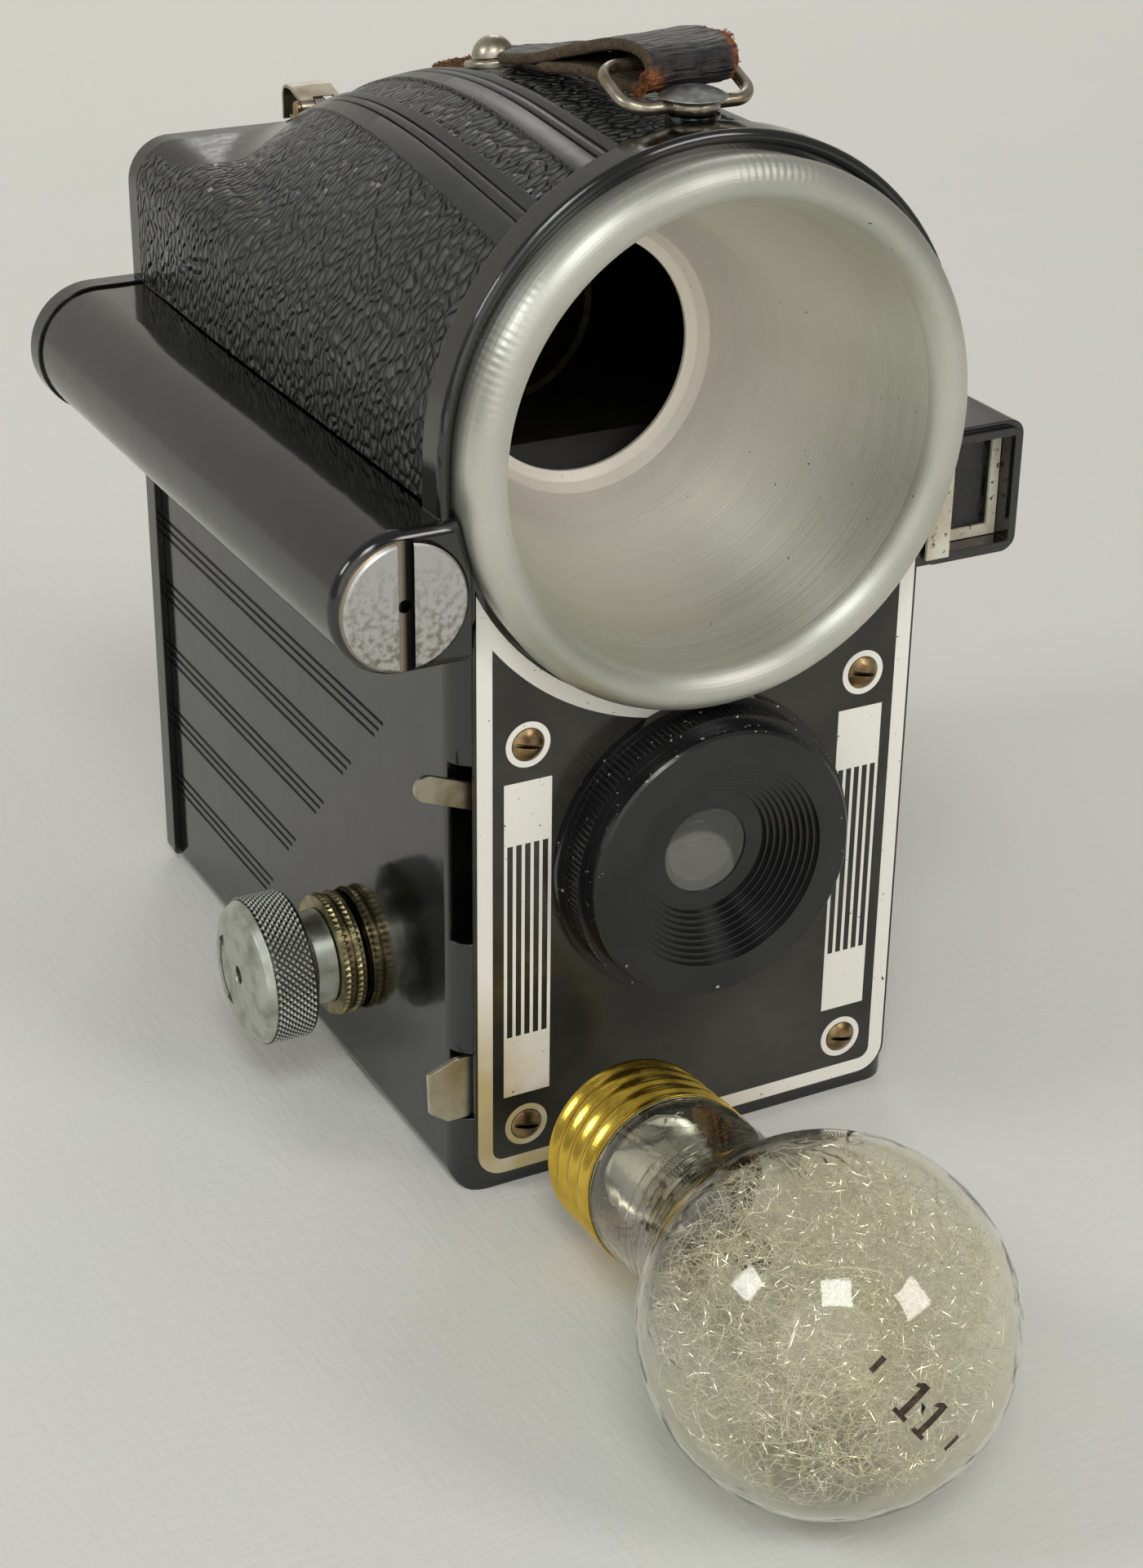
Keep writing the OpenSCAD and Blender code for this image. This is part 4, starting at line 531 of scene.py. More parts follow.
# The lens sits in a turned and blackened bezel: a knurled ring behind, a flat face and a cone
# cut in steps down to the glass. Its edges are rubbed to specks of bare metal.
gloss_black = material("gloss_black", (0.016, 0.016, 0.018), 0.24, Specular_IOR_Level=0.55)
lens_z = 50
angle, far, depth, unit = around(gloss_black, "Y", 0, lens_z)
band = calc(gloss_black, "MULTIPLY", calc(gloss_black, "GREATER_THAN", far, 21.75),
            calc(gloss_black, "LESS_THAN", depth, -59.4))
teeth = calc(gloss_black, "SINE", calc(gloss_black, "MULTIPLY", angle, 76.0))
knurl = calc(gloss_black, "ABSOLUTE", teeth)
tool_marks = lathe_lines(gloss_black, far, unit, 5.0, 0.4)
at = place(gloss_black)
rubs = calc(gloss_black, "MULTIPLY", spots(gloss_black, at, 1.1, 3.0, 0.70, 0.72),
            calc(gloss_black, "GREATER_THAN", far, 19.4))
normal = relief(gloss_black, calc(gloss_black, "MULTIPLY", knurl, band), 0.0004,
                relief(gloss_black, tool_marks, 0.00001, soft_edges(gloss_black, 0.12)))
blacks = tint(gloss_black, spots(gloss_black, at, 0.1, 4.0, 0.4, 0.7),
              (0.004, 0.004, 0.005), (0.013, 0.013, 0.0135))
drive(gloss_black, Base_Color=tint(gloss_black, rubs, blacks, (0.5, 0.48, 0.44)),
      Roughness=span(gloss_black, cloud(gloss_black, at, 1.8, 4.0), 0.14, 0.3), Normal=normal)
dress(gloss_black, "lens_bezel", "lens_ring")

lens_glass = material("lens_glass", (0.60, 0.61, 0.57), 0.03, Transmission_Weight=0.8, IOR=1.52)
scuff = spots(lens_glass, place(lens_glass, (0.3, 1, 2.4), (0, 0.6, 0)), 0.9, 5.0, 0.60, 0.68)
# Painted shade: a crescent at the glass's edge is coloured dark, standing for the shadow of the
# recess round it.
x, _, z = add(lens_glass, "SeparateXYZ", {0: place(lens_glass)}).outputs
reach = calc(lens_glass, "ADD", calc(lens_glass, "POWER", calc(lens_glass, "ADD", x, 2.0), 2.0),
             calc(lens_glass, "POWER", calc(lens_glass, "SUBTRACT", z, 46.2), 2.0))
painted_shade_crescent = add(lens_glass, "MapRange", {0: reach, 1: 44.0, 2: 52.0}).outputs[0]
hairs = spots(lens_glass, place(lens_glass, (0.35, 1, 5.0), (0, -0.5, 0)), 1.0, 3.0, 0.66, 0.70)
mist_and_painted_shade = tint(lens_glass, painted_shade_crescent, (0.62, 0.62, 0.56), (0.22, 0.23, 0.21))
drive(lens_glass, Roughness=span(lens_glass, scuff, 0.02, 0.2),
      Base_Color=tint(lens_glass, hairs, mist_and_painted_shade, (0.95, 0.94, 0.88)))
dress(lens_glass, "lens_element")


# Behind the plate a sheet-steel shutter carries the blade, its spring and the aperture disc.
# The release and the time tab are nickelled strips that stand out of the case's corner.
dress(blued_steel, "aperture_plate", "shutter_blade")
dress(spring_steel, "shutter_plate", "shutter_spring")
tab_nickel = worn("tab_nickel", (0.74, 0.71, 0.62), (0.56, 0.51, 0.41), 0.3, scale=0.18)
dress(tab_nickel, "time_lever")
dress(old_nickel, "release_lever")


# The reflector is spun aluminium, gone dull and yellowish, with scratches that run round it.
# Round its neck a warm bright glow is painted on and fades towards the rim: painted light.
# Its rim is rolled over and shows the ticks of the rolling tool.
spun = material("spun_aluminium", (0.6, 0.57, 0.5), 0.35, 1.0,
                Anisotropic=0.7, Anisotropic_Rotation=0.25)
angle, far, _, unit = around(spun, "Y", 0, bowl_z)
at = place(spun)
dull = spots(spun, at, 0.035, 5.0, 0.3, 0.7)
rings = lathe_lines(spun, far, unit, 9.0, 0.35, 4.0)
fine_rings = lathe_lines(spun, far, unit, 26.0, 5.0, 2.0)
scratch = add(spun, "MapRange", {0: fine_rings, 1: 0.66, 2: 0.72}).outputs[0]
speck = spots(spun, at, 0.9, 4.0, 0.73, 0.75)
rim = add(spun, "MapRange", {0: far, 1: 31.8, 2: 32.8}).outputs[0]
outside = calc(spun, "GREATER_THAN", far, 35.4)
stretch = add(spun, "VectorMath", {0: unit, 1: (1.6, 1.6, 0)}, operation="MULTIPLY").outputs[0]
ticks = calc(spun, "MULTIPLY", calc(spun, "SINE", calc(spun, "MULTIPLY", angle, 210.0)),
             calc(spun, "MULTIPLY", outside, spots(spun, stretch, 1.0, 1.0, 0.42, 0.6)))
# Painted light: near the neck the bowl is coloured warm and bright and made less metallic, fading
# out towards the rim.
painted_glow_fade = add(spun, "MapRange", {0: far, 1: 17.0, 2: 31.0}).outputs[0]
bowl_shade = tint(spun, painted_glow_fade, (1.0, 0.93, 0.83),
                  tint(spun, dull, (0.50, 0.50, 0.43), (0.64, 0.63, 0.55)))
bands = lathe_lines(spun, far, unit, 1.3, 0.9, 5.0)
bowl_shade = tint(spun, add(spun, "MapRange", {0: bands, 1: 0.35, 2: 0.62}).outputs[0],
                  tint(spun, painted_glow_fade, (0.92, 0.88, 0.80), (0.60, 0.60, 0.53)), bowl_shade)
shade = tint(spun, rim, bowl_shade, tint(spun, dull, (0.54, 0.55, 0.48), (0.74, 0.73, 0.66)))
shade = tint(spun, scratch, shade, (0.8, 0.78, 0.74))
drive(spun, Base_Color=tint(spun, speck, shade, (0.07, 0.06, 0.05)),
      Metallic=add(spun, "MapRange", {0: far, 1: 19.0, 2: 31.0, 3: 0.15, 4: 0.95}).outputs[0],
      Roughness=span(spun, rings, 0.34, 0.52),
      Tangent=add(spun, "Tangent", direction_type="RADIAL", axis="Y").outputs[0],
      Normal=relief(spun, ticks, 0.000011, relief(spun, rings, 0.00004, soft_edges(spun, 0.2))))
dress(spun, "reflector")


# The lamp socket is a brass screw shell on a moulded block, held by a bracket on the floor that
# divides the flash chamber from the film. A strip leads to it from the cells.
moulded_black = worn("moulded_black", (0.014, 0.013, 0.012), (0.006, 0.0055, 0.005), 0.55, 0.0)
# The socket's shell and contact are coloured a near-black brown brass.
dark_brass = worn("dark_brass", (0.10, 0.075, 0.045), (0.04, 0.03, 0.02), 0.5)
dress(moulded_black, "socket_body")
dress(rubbed_brass, "contact_strip")
dress(dark_brass, "socket_shell", "socket_contact")
dress(moulded_black, "flash_floor")
dress(blued_steel, "socket_bracket")


# The battery tube is closed by a turned aluminium cap with a coin slot. Its face is mottled with
# corrosion. Two cells lie behind it on a wire spring.
cap_metal = material("mottled_aluminium", (0.6, 0.6, 0.58), 0.35, 1.0)
at = place(cap_metal)
tube_x, tube_z = -46, 96
_, far, depth, unit = around(cap_metal, "Y", tube_x, tube_z)
x, _, z = add(cap_metal, "SeparateXYZ", {0: at}).outputs
mottle = calc(cap_metal, "MULTIPLY", spots(cap_metal, at, 1.0, 6.0, 0.46, 0.60),
              add(cap_metal, "MapRange", {0: z, 1: 104.0, 2: 90.0}).outputs[0])
# Painted shade: inside the coin slot the colour goes from dark brown on the left to near-black on
# the right.
inside_slot = calc(cap_metal, "GREATER_THAN", depth, -60.75)
painted_shade_across_slot = add(cap_metal, "MapRange", {0: x, 1: -46.5, 2: -45.7}).outputs[0]
face = tint(cap_metal, mottle, (0.58, 0.58, 0.58), (0.30, 0.275, 0.22))
slot = tint(cap_metal, painted_shade_across_slot, (0.34, 0.29, 0.23), (0.015, 0.013, 0.012))
drive(cap_metal, Base_Color=tint(cap_metal, inside_slot, face, slot),
      Roughness=span(cap_metal, cloud(cap_metal, at, 0.8, 5.0), 0.22, 0.5),
      Normal=relief(cap_metal, lathe_lines(cap_metal, far, unit, 8.0), 0.00002,
                    relief(cap_metal, mottle, 0.00002, soft_edges(cap_metal, 0.15))))
dress(cap_metal, "battery_cap")
dress(spring_steel, "cap_spring")
jacket = worn("cell_jacket", (0.10, 0.13, 0.22), (0.06, 0.08, 0.14), 0.3, 0.0, depth=0.00001)
dress(jacket, "battery_front", "battery_rear")


# The winding knob is turned aluminium with a diamond knurl and a stamped arrow on its face. It
# slides through a brass flange that has two finely knurled rings.
knob_metal = material("turned_aluminium", (0.62, 0.63, 0.58), 0.3, 1.0)
knob_y, knob_z = -16.8, 20.7
_, far, _, unit = around(knob_metal, "X", knob_y, knob_z)
at = place(knob_metal)
grime = spots(knob_metal, at, 0.35, 5.0, 0.42, 0.7)
drive(knob_metal, Base_Color=tint(knob_metal, grime, (0.54, 0.56, 0.50), (0.33, 0.34, 0.29)),
      Roughness=span(knob_metal, cloud(knob_metal, at, 1.5, 4.0), 0.24, 0.46),
      Normal=relief(knob_metal, lathe_lines(knob_metal, far, unit, 7.0), 0.00002,
                    soft_edges(knob_metal, 0.2)))
dress(knob_metal, "winding_knob")
dress(spring_steel, "wind_shaft")


def sleeve(name, x0, x1, r, count, rows, height, body):
    """A thin knurled skin round the winding axis: rows of points stand out in turn."""
    bpy.ops.object.select_all(action="DESELECT")
    bpy.ops.mesh.primitive_grid_add(x_subdivisions=2 * count, y_subdivisions=rows, size=2)
    o = bpy.context.object
    o.name = name
    for j in range(rows + 1):
        for i in range(2 * count + 1):
            up = height if (i + j) % 2 and 0 < j < rows else 0.0
            a = -math.pi * (i % (2 * count)) / count
            o.data.vertices[j * (2 * count + 1) + i].co = (
                (x0 + (x1 - x0) * j / rows) / 1000, (knob_y + (r + up) * math.cos(a)) / 1000,
                (knob_z + (r + up) * math.sin(a)) / 1000)
    bpy.ops.object.mode_set(mode="EDIT")
    bpy.ops.mesh.select_all(action="SELECT")
    bpy.ops.mesh.remove_doubles(threshold=1e-6)
    bpy.ops.mesh.quads_convert_to_tris(quad_method="SHORTEST_DIAGONAL")
    bpy.ops.mesh.normals_make_consistent(inside=False)
    bpy.ops.object.mode_set(mode="OBJECT")
    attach(o, body)
    return o


knurl_metal = material("knurl_metal", (0.5, 0.51, 0.46), 0.34, 1.0)
far = around(knurl_metal, "X", knob_y, knob_z)[1]
# Painted shade: the knurl's valleys are coloured dark by depth alone.
low = add(knurl_metal, "MapRange", {0: far, 1: 11.12, 2: 11.45}).outputs[0]
drive(knurl_metal, Base_Color=tint(knurl_metal, low, (0.10, 0.10, 0.085), (0.62, 0.63, 0.57)),
      Roughness=span(knurl_metal, cloud(knurl_metal, place(knurl_metal), 2.0, 3.0), 0.28, 0.46))
knob_knurl = sleeve("knob_knurl", -53.0, -46.4, 11.12, count=62, rows=12, height=0.42, body="knob")
knob_knurl.data.materials.append(knurl_metal)

flange_brass = worn("flange_brass", (0.50, 0.41, 0.22), (0.24, 0.20, 0.11), 0.34, scale=0.4)
dress(flange_brass, "knob_flange")
for name, x0, x1 in (("flange_ring_outer", -41.3, -39.7), ("flange_ring_inner", -39.2, -37.8)):
    ring = sleeve(name, x0, x1, 9.31, count=58, rows=2, height=0.30, body="winder")
    ring.data.materials.append(flange_brass)

stamp = material("stamped_line", (0.05, 0.05, 0.045), 0.6, 0.3)
drive(stamp, Base_Color=tint(stamp, spots(stamp, place(stamp), 1.5),
                             (0.04, 0.04, 0.035), (0.10, 0.10, 0.085)))


def on_face(r, a):
    """A point on the knob's face, in metres."""
    x = -55.06
    return x / 1000, (knob_y + r * math.cos(a)) / 1000, (knob_z + r * math.sin(a)) / 1000


arc = [math.radians(-62 + 92 * i / 20) for i in range(21)]
n = len(arc)
verts = [on_face(r, a) for r in (6.9, 7.2) for a in arc]
faces = [(i, i + 1, n + i + 1, n + i) for i in range(n - 1)]
head_long = 0.16
for tip, base in ((arc[0], arc[0] + head_long), (arc[-1], arc[-1] - head_long)):
    k = len(verts)
    verts += [on_face(7.05, tip - (base - tip) * 0.6), on_face(6.2, base), on_face(7.9, base)]
    faces.append((k, k + 1, k + 2))
arrow = meshed("knob_arrow", verts, faces)
outwards((0.00007, 0, 0))
arrow.data.materials.append(stamp)
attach(arrow, "knob")


# Inside, two tinned spools turn on steel pins, and a blackened sheet frame holds them, the
# gate and the rods that the film runs over.
spool_black = worn("spool_black", (0.06, 0.06, 0.065), (0.03, 0.03, 0.032), 0.4, 0.4)
dress(spool_black, "takeup_spool", "supply_spool", "film_frame")
dress(spring_steel, "spool_pins", "film_guides")


# The finder is a straight tunnel with a glass at each end. A folded sheet mask, once white,
# frames the front one and laps onto the face.
mask_metal = material("mask_paint", (0.62, 0.57, 0.45), 0.4)
at = place(mask_metal)
rust = spots(mask_metal, at, 0.8, 5.0, 0.60, 0.66)
yellowed = tint(mask_metal, spots(mask_metal, at, 0.2), (0.55, 0.49, 0.37), (0.70, 0.66, 0.55))
drive(mask_metal, Base_Color=tint(mask_metal, rust, yellowed, (0.12, 0.09, 0.06)),
      Roughness=span(mask_metal, cloud(mask_metal, at, 1.6, 4.0), 0.3, 0.5),
      Normal=relief(mask_metal, rust, 0.00003, soft_edges(mask_metal, 0.1)))
dress(mask_metal, "finder_mask")
finder_glass = material("finder_glass", (0.45, 0.43, 0.42), 0.1, Transmission_Weight=1.0, IOR=1.5)
dust = spots(finder_glass, place(finder_glass), 0.35, 5.0)
drive(finder_glass, Roughness=span(finder_glass, dust, 0.06, 0.3))
dress(finder_glass, "finder_front_lens", "finder_rear_lens")


# The strap's wire ring lies on a short post with a riveted head. A second rivet, on a washer with
# a rolled edge, holds the strap's rear end. All of it is nickelled steel gone greenish.
dress(old_nickel, "strap_ring", "strap_washer", "strap_rear_rivet")
dress(bakelite, "ring_washer")
grey_nickel = worn("grey_nickel", (0.60, 0.61, 0.58), (0.36, 0.37, 0.35), 0.42,
                   scale=0.7, depth=0.00003)
dress(grey_nickel, "strap_front_rivet")


def loft(name, rings, **marks):
    """A tube through rings of points in millimetres, all with the same count; marks are numbers
    for each point that the finish reads."""
    count, last = len(rings[0]), len(rings) - 1
    bpy.ops.object.select_all(action="DESELECT")
    bpy.ops.mesh.primitive_grid_add(x_subdivisions=count, y_subdivisions=last, size=2)
    o = bpy.context.object
    o.name = name
    for j, ring in enumerate(rings):
        for i in range(count + 1):
            o.data.vertices[j * (count + 1) + i].co = Vector(ring[i % count]) / 1000
    for key, values in marks.items():
        held = o.data.attributes.new(key, "FLOAT", "POINT")
        for j, row in enumerate(values):
            for i in range(count + 1):
                held.data[j * (count + 1) + i].value = row[i % count]
    bpy.ops.object.mode_set(mode="EDIT")
    bpy.ops.mesh.select_all(action="SELECT")
    bpy.ops.mesh.remove_doubles(threshold=1e-7)
    bpy.ops.mesh.select_all(action="DESELECT")
    bpy.ops.mesh.select_non_manifold()
    bpy.ops.mesh.fill_holes(sides=0)
    bpy.ops.mesh.select_all(action="SELECT")
    bpy.ops.mesh.normals_make_consistent(inside=False)
    bpy.ops.object.mode_set(mode="OBJECT")
    return o


# The rear rivet leans back with the crown. Its profile is radii and heights along its own line.
foot, slope = Vector((0, 7.3, 147.06)), math.radians(10.37)
rise = [math.radians(89.5 * i / 14) for i in range(15)]
profile = [(0.02, -3.4), (2.6, -3.4), (2.6, -2.7), (1.2, -2.7), (1.2, 1.05), (3.1, 1.05)]
profile += [(3.2 * math.cos(a), 1.15 + 3.2 * math.sin(a)) for a in rise]


def leaning(r, h, b):
    """The point of the rivet at radius r, height h and angle b."""
    side = r * math.sin(b)
    return foot + Vector((r * math.cos(b), side * math.cos(slope) + h * math.sin(slope),
                          h * math.cos(slope) - side * math.sin(slope)))


rivet_head = loft("rivet_head", [[leaning(r, h, b) for b in full_turn] for r, h in profile])
bpy.ops.object.shade_smooth_by_angle(angle=math.radians(40))
rivet_head.data.materials.append(old_nickel)
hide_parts("strap_rear_rivet")
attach(rivet_head, "case")


# The strap is brown split leather, black and cracked on its outside. Its front end is folded
# round the ring and comes back under itself, and its cut edges show the brown core.
def fibres(name, paths, width=0.0, thick=0.0):
    """Many fine strands in one piece: flat ribbons of a width, or round ones of a thickness."""
    curve = bpy.data.curves.new(name, "CURVE")
    curve.dimensions = "3D"
    curve.extrude = width / 2000
    curve.bevel_depth = thick / 2000
    curve.bevel_resolution = 0
    for points, turn in paths:
        s = curve.splines.new("POLY")
        s.points.add(len(points) - 1)
        for k, (p, q) in enumerate(zip(points, s.points)):
            q.co = (*(Vector(p) / 1000), 1)
            q.tilt = turn * k
            q.radius = 1.0
    o = bpy.data.objects.new(name, curve)
    bpy.context.collection.objects.link(o)
    pick(o)
    bpy.ops.object.convert(target="MESH")
    o = bpy.context.object
    o.name = name
    return o


def strap_line(count):
    """Middle line of the strap, in Y and Z, from the tail under the loop to the end at the rivet:
    points on a smooth curve, evenly spaced."""
    knots = [Vector(p) for p in (
        (-15.2, 151.75), (-20.7, 152.75), (-26, 153.6), (-31, 154.1), (-36, 154.25), (-40, 154.3),
        (-43.5, 154.65), (-45.8, 155.65), (-46.8, 157.2), (-46.2, 158.55), (-44.4, 159.4),
        (-41.5, 159.6), (-38, 159.3), (-34.6, 158.6), (-30.8, 157.6), (-27, 156.5), (-23, 155.35),
        (-19.1, 154.2), (-14.2, 152.8), (-8, 151.4), (-1.5, 150.4), (3.3, 149.5), (7.3, 148.8),
        (11.4, 147.9))]
    fine = []
    for k in range(len(knots) - 1):
        a, b = knots[max(k - 1, 0)], knots[k]
        c, d = knots[k + 1], knots[min(k + 2, len(knots) - 1)]
        for i in range(12):
            t = i / 12
            fine.append(0.5 * (2 * b + (c - a) * t + (2 * a - 5 * b + 4 * c - d) * t * t
                               + (3 * b - a - 3 * c + d) * t ** 3))
    fine.append(knots[-1])
    reach = [0.0]
    for p, q in zip(fine, fine[1:]):
        reach.append(reach[-1] + (q - p).length)
    line, k = [], 0
    for i in range(count):
        goal = reach[-1] * i / (count - 1)
        while k < len(fine) - 2 and reach[k + 1] < goal:
            k += 1
        line.append(fine[k].lerp(fine[k + 1], (goal - reach[k]) / (reach[k + 1] - reach[k])))
    return [(p.x, p.y) for p in line]


strap_x, half_width, half_thick = 2, 6.3, 0.75


def cut_edge(f, start):
    """Four points round one cut edge, down half a turn from the angle start."""
    fall = [start - math.pi * i / 5 for i in range(1, 5)]
    return [(f, half_thick * math.sin(a), 0.3 * math.cos(a)) for a in fall]


# The cross-section once round: place across from 0 to 1, height, and bulge of a cut edge.
section = [(i / 23, half_thick, 0) for i in range(24)] + cut_edge(1.0, math.pi / 2)
section += [(1 - i / 23, -half_thick, 0) for i in range(24)] + cut_edge(0.0, -math.pi / 2)

line = strap_line(150)
rings, edges, turns, scuffs = [], [], [], []
for j, (y, z) in enumerate(line):
    (y0, z0), (y1, z1) = line[max(j - 1, 0)], line[min(j + 1, len(line) - 1)]
    run = math.hypot(y1 - y0, z1 - z0)
    out = Vector((0, -(z1 - z0) / run, (y1 - y0) / run))
    # Both ends thin out. bend is 1 in the loop, below is 1 on the loop's scuffed underside.
    thin = min(1.0, 0.55 + 0.12 * j, 0.55 + 0.1 * (len(line) - 1 - j))
    bend = min(1.0, max(0.0, (-34 - y) / 6))
    below = max(0.0, 1 - abs(math.degrees(math.atan2(157.2 - z, -43 - y)) - 32) / 52)
    # Towards the rivet both sides are torn away, the left one more.
    left = -half_width + min(5.0, max(0.0, y + 3.0) * 0.9)
    right = half_width - min(2.5, max(0.0, y - 4) * 0.6)
    ring, edge, turn, scuff = [], [], [], []
    for f, v, side in section:
        u = left + (right - left) * f
        long_folds = noise.noise(Vector((u * 1.0, j * 0.05, 3.0))) * 0.34 * (1 - bend)
        cross_folds = noise.noise(Vector((u * 0.22, j * 0.55, 9.0))) * 0.30 * bend
        sway = noise.noise(Vector((j * 0.10, 7.0, 1.0 if f > 0.5 else 5.0))) * 0.30
        lift = (long_folds + cross_folds) * (1.0 if v > 0 else 0.3)
        twist = 0.6 * f * min(1.0, max(0.0, (4 - y) / 14))
        x = strap_x + u + side + (sway if f in (0.0, 1.0) else 0)
        ring.append(Vector((x, y, z + twist)) + out * (v * thin + lift))
        edge.append(1.0 if side or f in (0.0, 1.0) else 0.85 if v < 0 else 0.0)
        turn.append(bend)
        scuff.append(bend * below * max(0.0, 1.4 - f * 5) + bend * max(0.0, f * 14 - 13))
    rings.append(ring)
    edges.append(edge)
    turns.append(turn)
    scuffs.append(scuff)
strap = loft("strap", rings, edge=edges, turn=turns, scuff=scuffs)
bpy.ops.object.shade_smooth_by_angle(angle=math.radians(55))

hide = material("cracked_leather", (0.03, 0.026, 0.026), 0.5)
lengthwise = cloud(hide, place(hide, (1.5, 0.16, 0.3)), 1.0, 5.0)
crosswise = cloud(hide, place(hide, (0.22, 1.6, 1.6)), 1.0, 5.0)
turned = add(hide, "Attribute", attribute_name="turn").outputs["Fac"]
folds = add(hide, "Mix", {0: turned, 2: lengthwise, 3: crosswise}).outputs[0]
edge = add(hide, "Attribute", attribute_name="edge").outputs["Fac"]
scuff = add(hide, "Attribute", attribute_name="scuff").outputs["Fac"]
bare = calc(hide, "MULTIPLY", add(hide, "MapRange", {0: scuff, 1: 0.1, 2: 0.6}).outputs[0],
            spots(hide, place(hide), 0.9, 5.0, 0.40, 0.52))
top = tint(hide, spots(hide, place(hide), 0.5, 5.0, 0.42, 0.62),
           (0.010, 0.009, 0.011), (0.040, 0.030, 0.032))
suede = tint(hide, spots(hide, place(hide), 1.6, 4.0, 0.3, 0.7),
             (0.035, 0.024, 0.013), (0.125, 0.080, 0.040))
rust = tint(hide, spots(hide, place(hide), 2.0, 4.0, 0.35, 0.65),
            (0.16, 0.05, 0.02), (0.42, 0.13, 0.03))
drive(hide, Base_Color=tint(hide, bare, tint(hide, edge, top, suede), rust),
      Roughness=span(hide, calc(hide, "MAXIMUM", edge, bare), 0.38, 0.85),
      Normal=relief(hide, folds, 0.0012))
strap.data.materials.append(hide)
dress(hide, "strap_leather")
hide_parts("strap_leather")
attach(strap, "case")

# Loose orange fibres stand out of the loop's two cut edges.
dice = random.Random(7)
loop_y, loop_z, loop_r, fibres_each = -43.4, 157.0, 2.9, 170
paths = []
for side in (-1, 1):
    for _ in range(fibres_each):
        a = math.radians(dice.triangular(160, 285, 225) if side < 0 else dice.uniform(80, 215))
        r = loop_r + dice.uniform(-0.7, 0.7)
        p = Vector((strap_x + side * 6.4, loop_y + r * math.cos(a),
                    loop_z + r * math.sin(a) + (0.5 if side > 0 else 0)))
        d = Vector((side * dice.uniform(0.4, 1.0), dice.uniform(-0.8, 0.8),
                    dice.uniform(-0.8, 0.8))).normalized()
        line = [p.copy()]
        for _ in range(4):
            d = (d + Vector([dice.uniform(-0.5, 0.5) for _ in range(3)])).normalized()
            p = p + d * dice.uniform(0.1, 0.26)
            line.append(p.copy())
        paths.append((line, 0.0))
loop_fibres = fibres("loop_fibres", paths, thick=0.09)
orange = material("leather_fibre", (0.42, 0.15, 0.04), 0.8)
drive(orange, Base_Color=tint(orange, spots(orange, place(orange), 1.2, 3.0, 0.35, 0.65),
                              (0.46, 0.14, 0.035), (0.14, 0.06, 0.025)))
loop_fibres.data.materials.append(orange)
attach(loop_fibres, "case")


# Behind the rivet the strap has torn off. What is left is a crumbling tongue of the leather's
# core that lies along the crown's crest, which falls off round a circle of crest_r.
stub_x, stub_y, stub_long, stub_fibres = 0.2, 11.4, 15.6, 2600
crest_r = 207.15
paths = []
for _ in range(stub_fibres):
    t = dice.random() ** 0.9
    y = stub_y + stub_long * t
    half = 2.9 * (1 - 0.72 * t) * (0.8 + 0.4 * noise.noise(Vector((y * 0.5, 2.0, 0))))
    x = stub_x + dice.uniform(-half, half)
    high = (1.15 - 0.5 * t) * max(0.05, 1 - (abs(x - stub_x) / (half + 0.01)) ** 2)
    ground = fall_z + math.sqrt(crest_r ** 2 - (y - fall_y) ** 2)
    p = Vector((x, y, ground + dice.uniform(0, high)))
    d = Vector([dice.uniform(-1, 1), dice.uniform(-1, 1), dice.uniform(-0.25, 0.35)]).normalized()
    line = [p.copy()]
    for _ in range(3):
        d = (d + Vector([dice.uniform(-0.7, 0.7) for _ in range(3)])).normalized()
        p = p + d * dice.uniform(0.12, 0.34)
        p.z = max(p.z, ground - 0.1)
        line.append(p.copy())
    paths.append((line, 0.0))
tongue = fibres("torn_tongue", paths, thick=0.2)
crumbs = material("torn_leather", (0.25, 0.13, 0.06), 0.85)
browns = tint(crumbs, spots(crumbs, place(crumbs), 0.9, 4.0, 0.38, 0.62),
              (0.12, 0.085, 0.05), (0.34, 0.15, 0.05))
dark = spots(crumbs, place(crumbs), 2.6, 2.0, 0.58, 0.66)
drive(crumbs, Base_Color=tint(crumbs, dark, browns, (0.05, 0.04, 0.03)))
tongue.data.materials.append(crumbs)
dress(crumbs, "strap_stub")
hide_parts("strap_stub")
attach(tongue, "case")


# The flash bulb is a clear lacquered glass globe stuffed with shredded foil, with a glass stem,
# and a rolled brass screw base with a black insulator and a soldered tip.
globe_r, ink_r = 23.8, 23.83
globe_at = Vector((-23, -132.4, globe_r))
bulb_glass = material("bulb_glass", (0.97, 0.95, 0.84), 0.02, Transmission_Weight=1.0, IOR=1.46)
at = place(bulb_glass)
streaks = place(bulb_glass, (0.25, 0.25, 2.2), (0.4, 0.2, 0.3))
scratches = spots(bulb_glass, streaks, 1.1, 6.0, 0.62, 0.68)
ripple = cloud(bulb_glass, at, 0.11, 2.0)
drive(bulb_glass, Roughness=span(bulb_glass, scratches, 0.02, 0.28),
      Base_Color=tint(bulb_glass, spots(bulb_glass, at, 0.08, 3.0),
                      (0.997, 0.987, 0.91), (0.988, 0.967, 0.84)),
      Normal=relief(bulb_glass, ripple, 0.00015))
dress(bulb_glass, "bulb_globe")
stem_glass = material("stem_glass", (0.9, 0.9, 0.85), 0.08, Transmission_Weight=1.0, IOR=1.5)
mist_and_painted_shade = cloud(stem_glass, place(stem_glass), 0.5, 3.0)
drive(stem_glass, Roughness=span(stem_glass, mist_and_painted_shade, 0.04, 0.2))
dress(stem_glass, "bulb_stem")

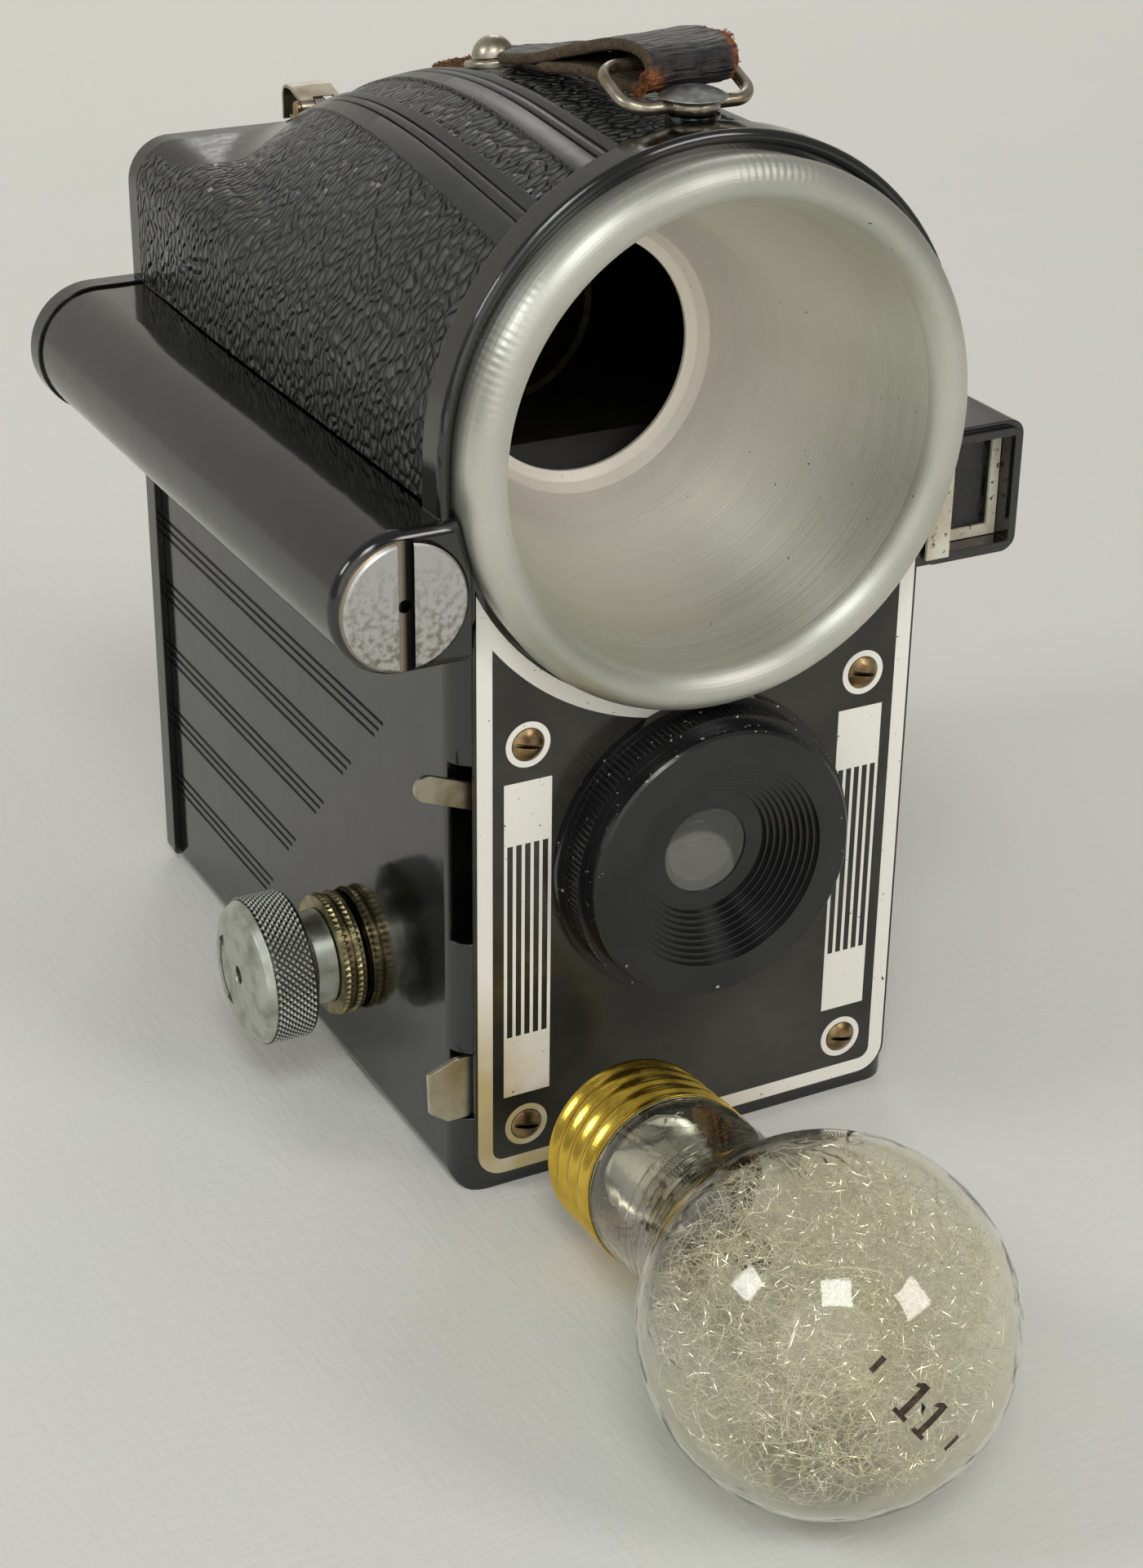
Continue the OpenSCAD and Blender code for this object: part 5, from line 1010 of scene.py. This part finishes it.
# Each foil thread wanders off from a random place, step by step, and turns aside at the glass.
thread_count, start_r, turn_r, glass_r, step = 4400, 22.2, 21.6, 22.4, 1.15
strands = []
for _ in range(thread_count):
    p = Vector([dice.gauss(0, 1) for _ in range(3)]).normalized()
    p = p * (start_r * dice.random() ** 0.42)
    d = Vector([dice.gauss(0, 1) for _ in range(3)]).normalized()
    spin = Vector([dice.gauss(0, 1) for _ in range(3)]).normalized()
    curl = dice.uniform(0.03, 0.35)
    line = []
    for _ in range(9):
        line.append(globe_at + p)
        shake = Vector([dice.gauss(0, 0.12) for _ in range(3)])
        d = (d + spin.cross(d) * curl + shake).normalized()
        if p.length > turn_r:
            d = (d - p.normalized() * max(0.0, d.dot(p.normalized())) * 1.6).normalized()
        p = p + d * step
        if p.length > glass_r:
            p = p * (glass_r / p.length)
    strands.append((line, dice.uniform(-0.5, 0.5)))
shred = material("shredded_foil", (0.88, 0.85, 0.74), 0.2, 0.55)
drive(shred, Base_Color=tint(shred, spots(shred, place(shred), 0.15, 3.0, 0.35, 0.65),
                             (0.99, 0.95, 0.80), (1.0, 0.98, 0.91)),
      Roughness=span(shred, cloud(shred, place(shred), 1.0, 2.0), 0.12, 0.30))
dress(shred, "bulb_foil")
for name, share in (("foil_threads_inner", strands[0::2]), ("foil_threads_outer", strands[1::2])):
    threads = fibres(name, share, width=0.075)
    threads.data.materials.append(shred)
    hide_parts("bulb_foil")
    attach(threads, "bulb")

gold_brass = worn("gold_brass", (0.88, 0.62, 0.10), (0.66, 0.44, 0.06), 0.2,
                  scale=0.25, depth=0.00001)
dress(gold_brass, "bulb_base")
dress(moulded_black, "bulb_insulator")
solder = worn("solder", (0.55, 0.55, 0.53), (0.36, 0.35, 0.32), 0.4, scale=0.6)
dress(solder, "bulb_contact")

# The number on the globe: where its middle faces, which way it reads and which way it stands.
middle = Vector((-0.089, -0.981, 0.175)).normalized()
reading = Vector((0.577, -0.192, -0.794))
reading = (reading - middle * reading.dot(middle)).normalized()
tall = middle.cross(reading)


def stamped(name, quads):
    """Ink on the globe: quads in millimetres along the reading line and up."""
    verts, faces = [], []
    for (ax, ay), (bx, by), (cx, cy), (dx, dy) in quads:
        k = len(verts)
        for i in range(7):
            for j in range(7):
                s, t = i / 6, j / 6
                u = (ax * (1 - s) + bx * s) * (1 - t) + (dx * (1 - s) + cx * s) * t
                v = (ay * (1 - s) + by * s) * (1 - t) + (dy * (1 - s) + cy * s) * t
                way = (middle * globe_r + reading * u + tall * v).normalized()
                verts.append((globe_at + way * ink_r) / 1000)
        corners = [k + 7 * i + j for i in range(6) for j in range(6)]
        faces += [(c, c + 7, c + 8, c + 1) for c in corners]
    return meshed(name, verts, faces)


def digit_one(u):
    return [[(u - 0.5, -2.5), (u + 0.5, -2.5), (u + 0.5, 2.5), (u - 0.5, 2.5)],
            [(u - 1.2, -2.5), (u + 1.2, -2.5), (u + 1.2, -1.9), (u - 1.2, -1.9)],
            [(u - 1.25, 1.35), (u - 0.45, 1.7), (u - 0.45, 2.5), (u - 1.25, 1.9)]]


def dash(u):
    return [[(u - 0.42, -1.2), (u + 0.42, -1.2), (u + 0.42, 1.2), (u - 0.42, 1.2)]]


figures = stamped("globe_figures", digit_one(-1.95) + digit_one(1.95) + dash(-8.8) + dash(7.7))
brown_ink = material("brown_ink", (0.03, 0.015, 0.006), 0.6)
drive(brown_ink, Base_Color=tint(brown_ink, spots(brown_ink, place(brown_ink), 1.6, 4.0, 0.45, 0.7),
                                 (0.02, 0.012, 0.006), (0.10, 0.06, 0.03)))
figures.data.materials.append(brown_ink)
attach(figures, "bulb")
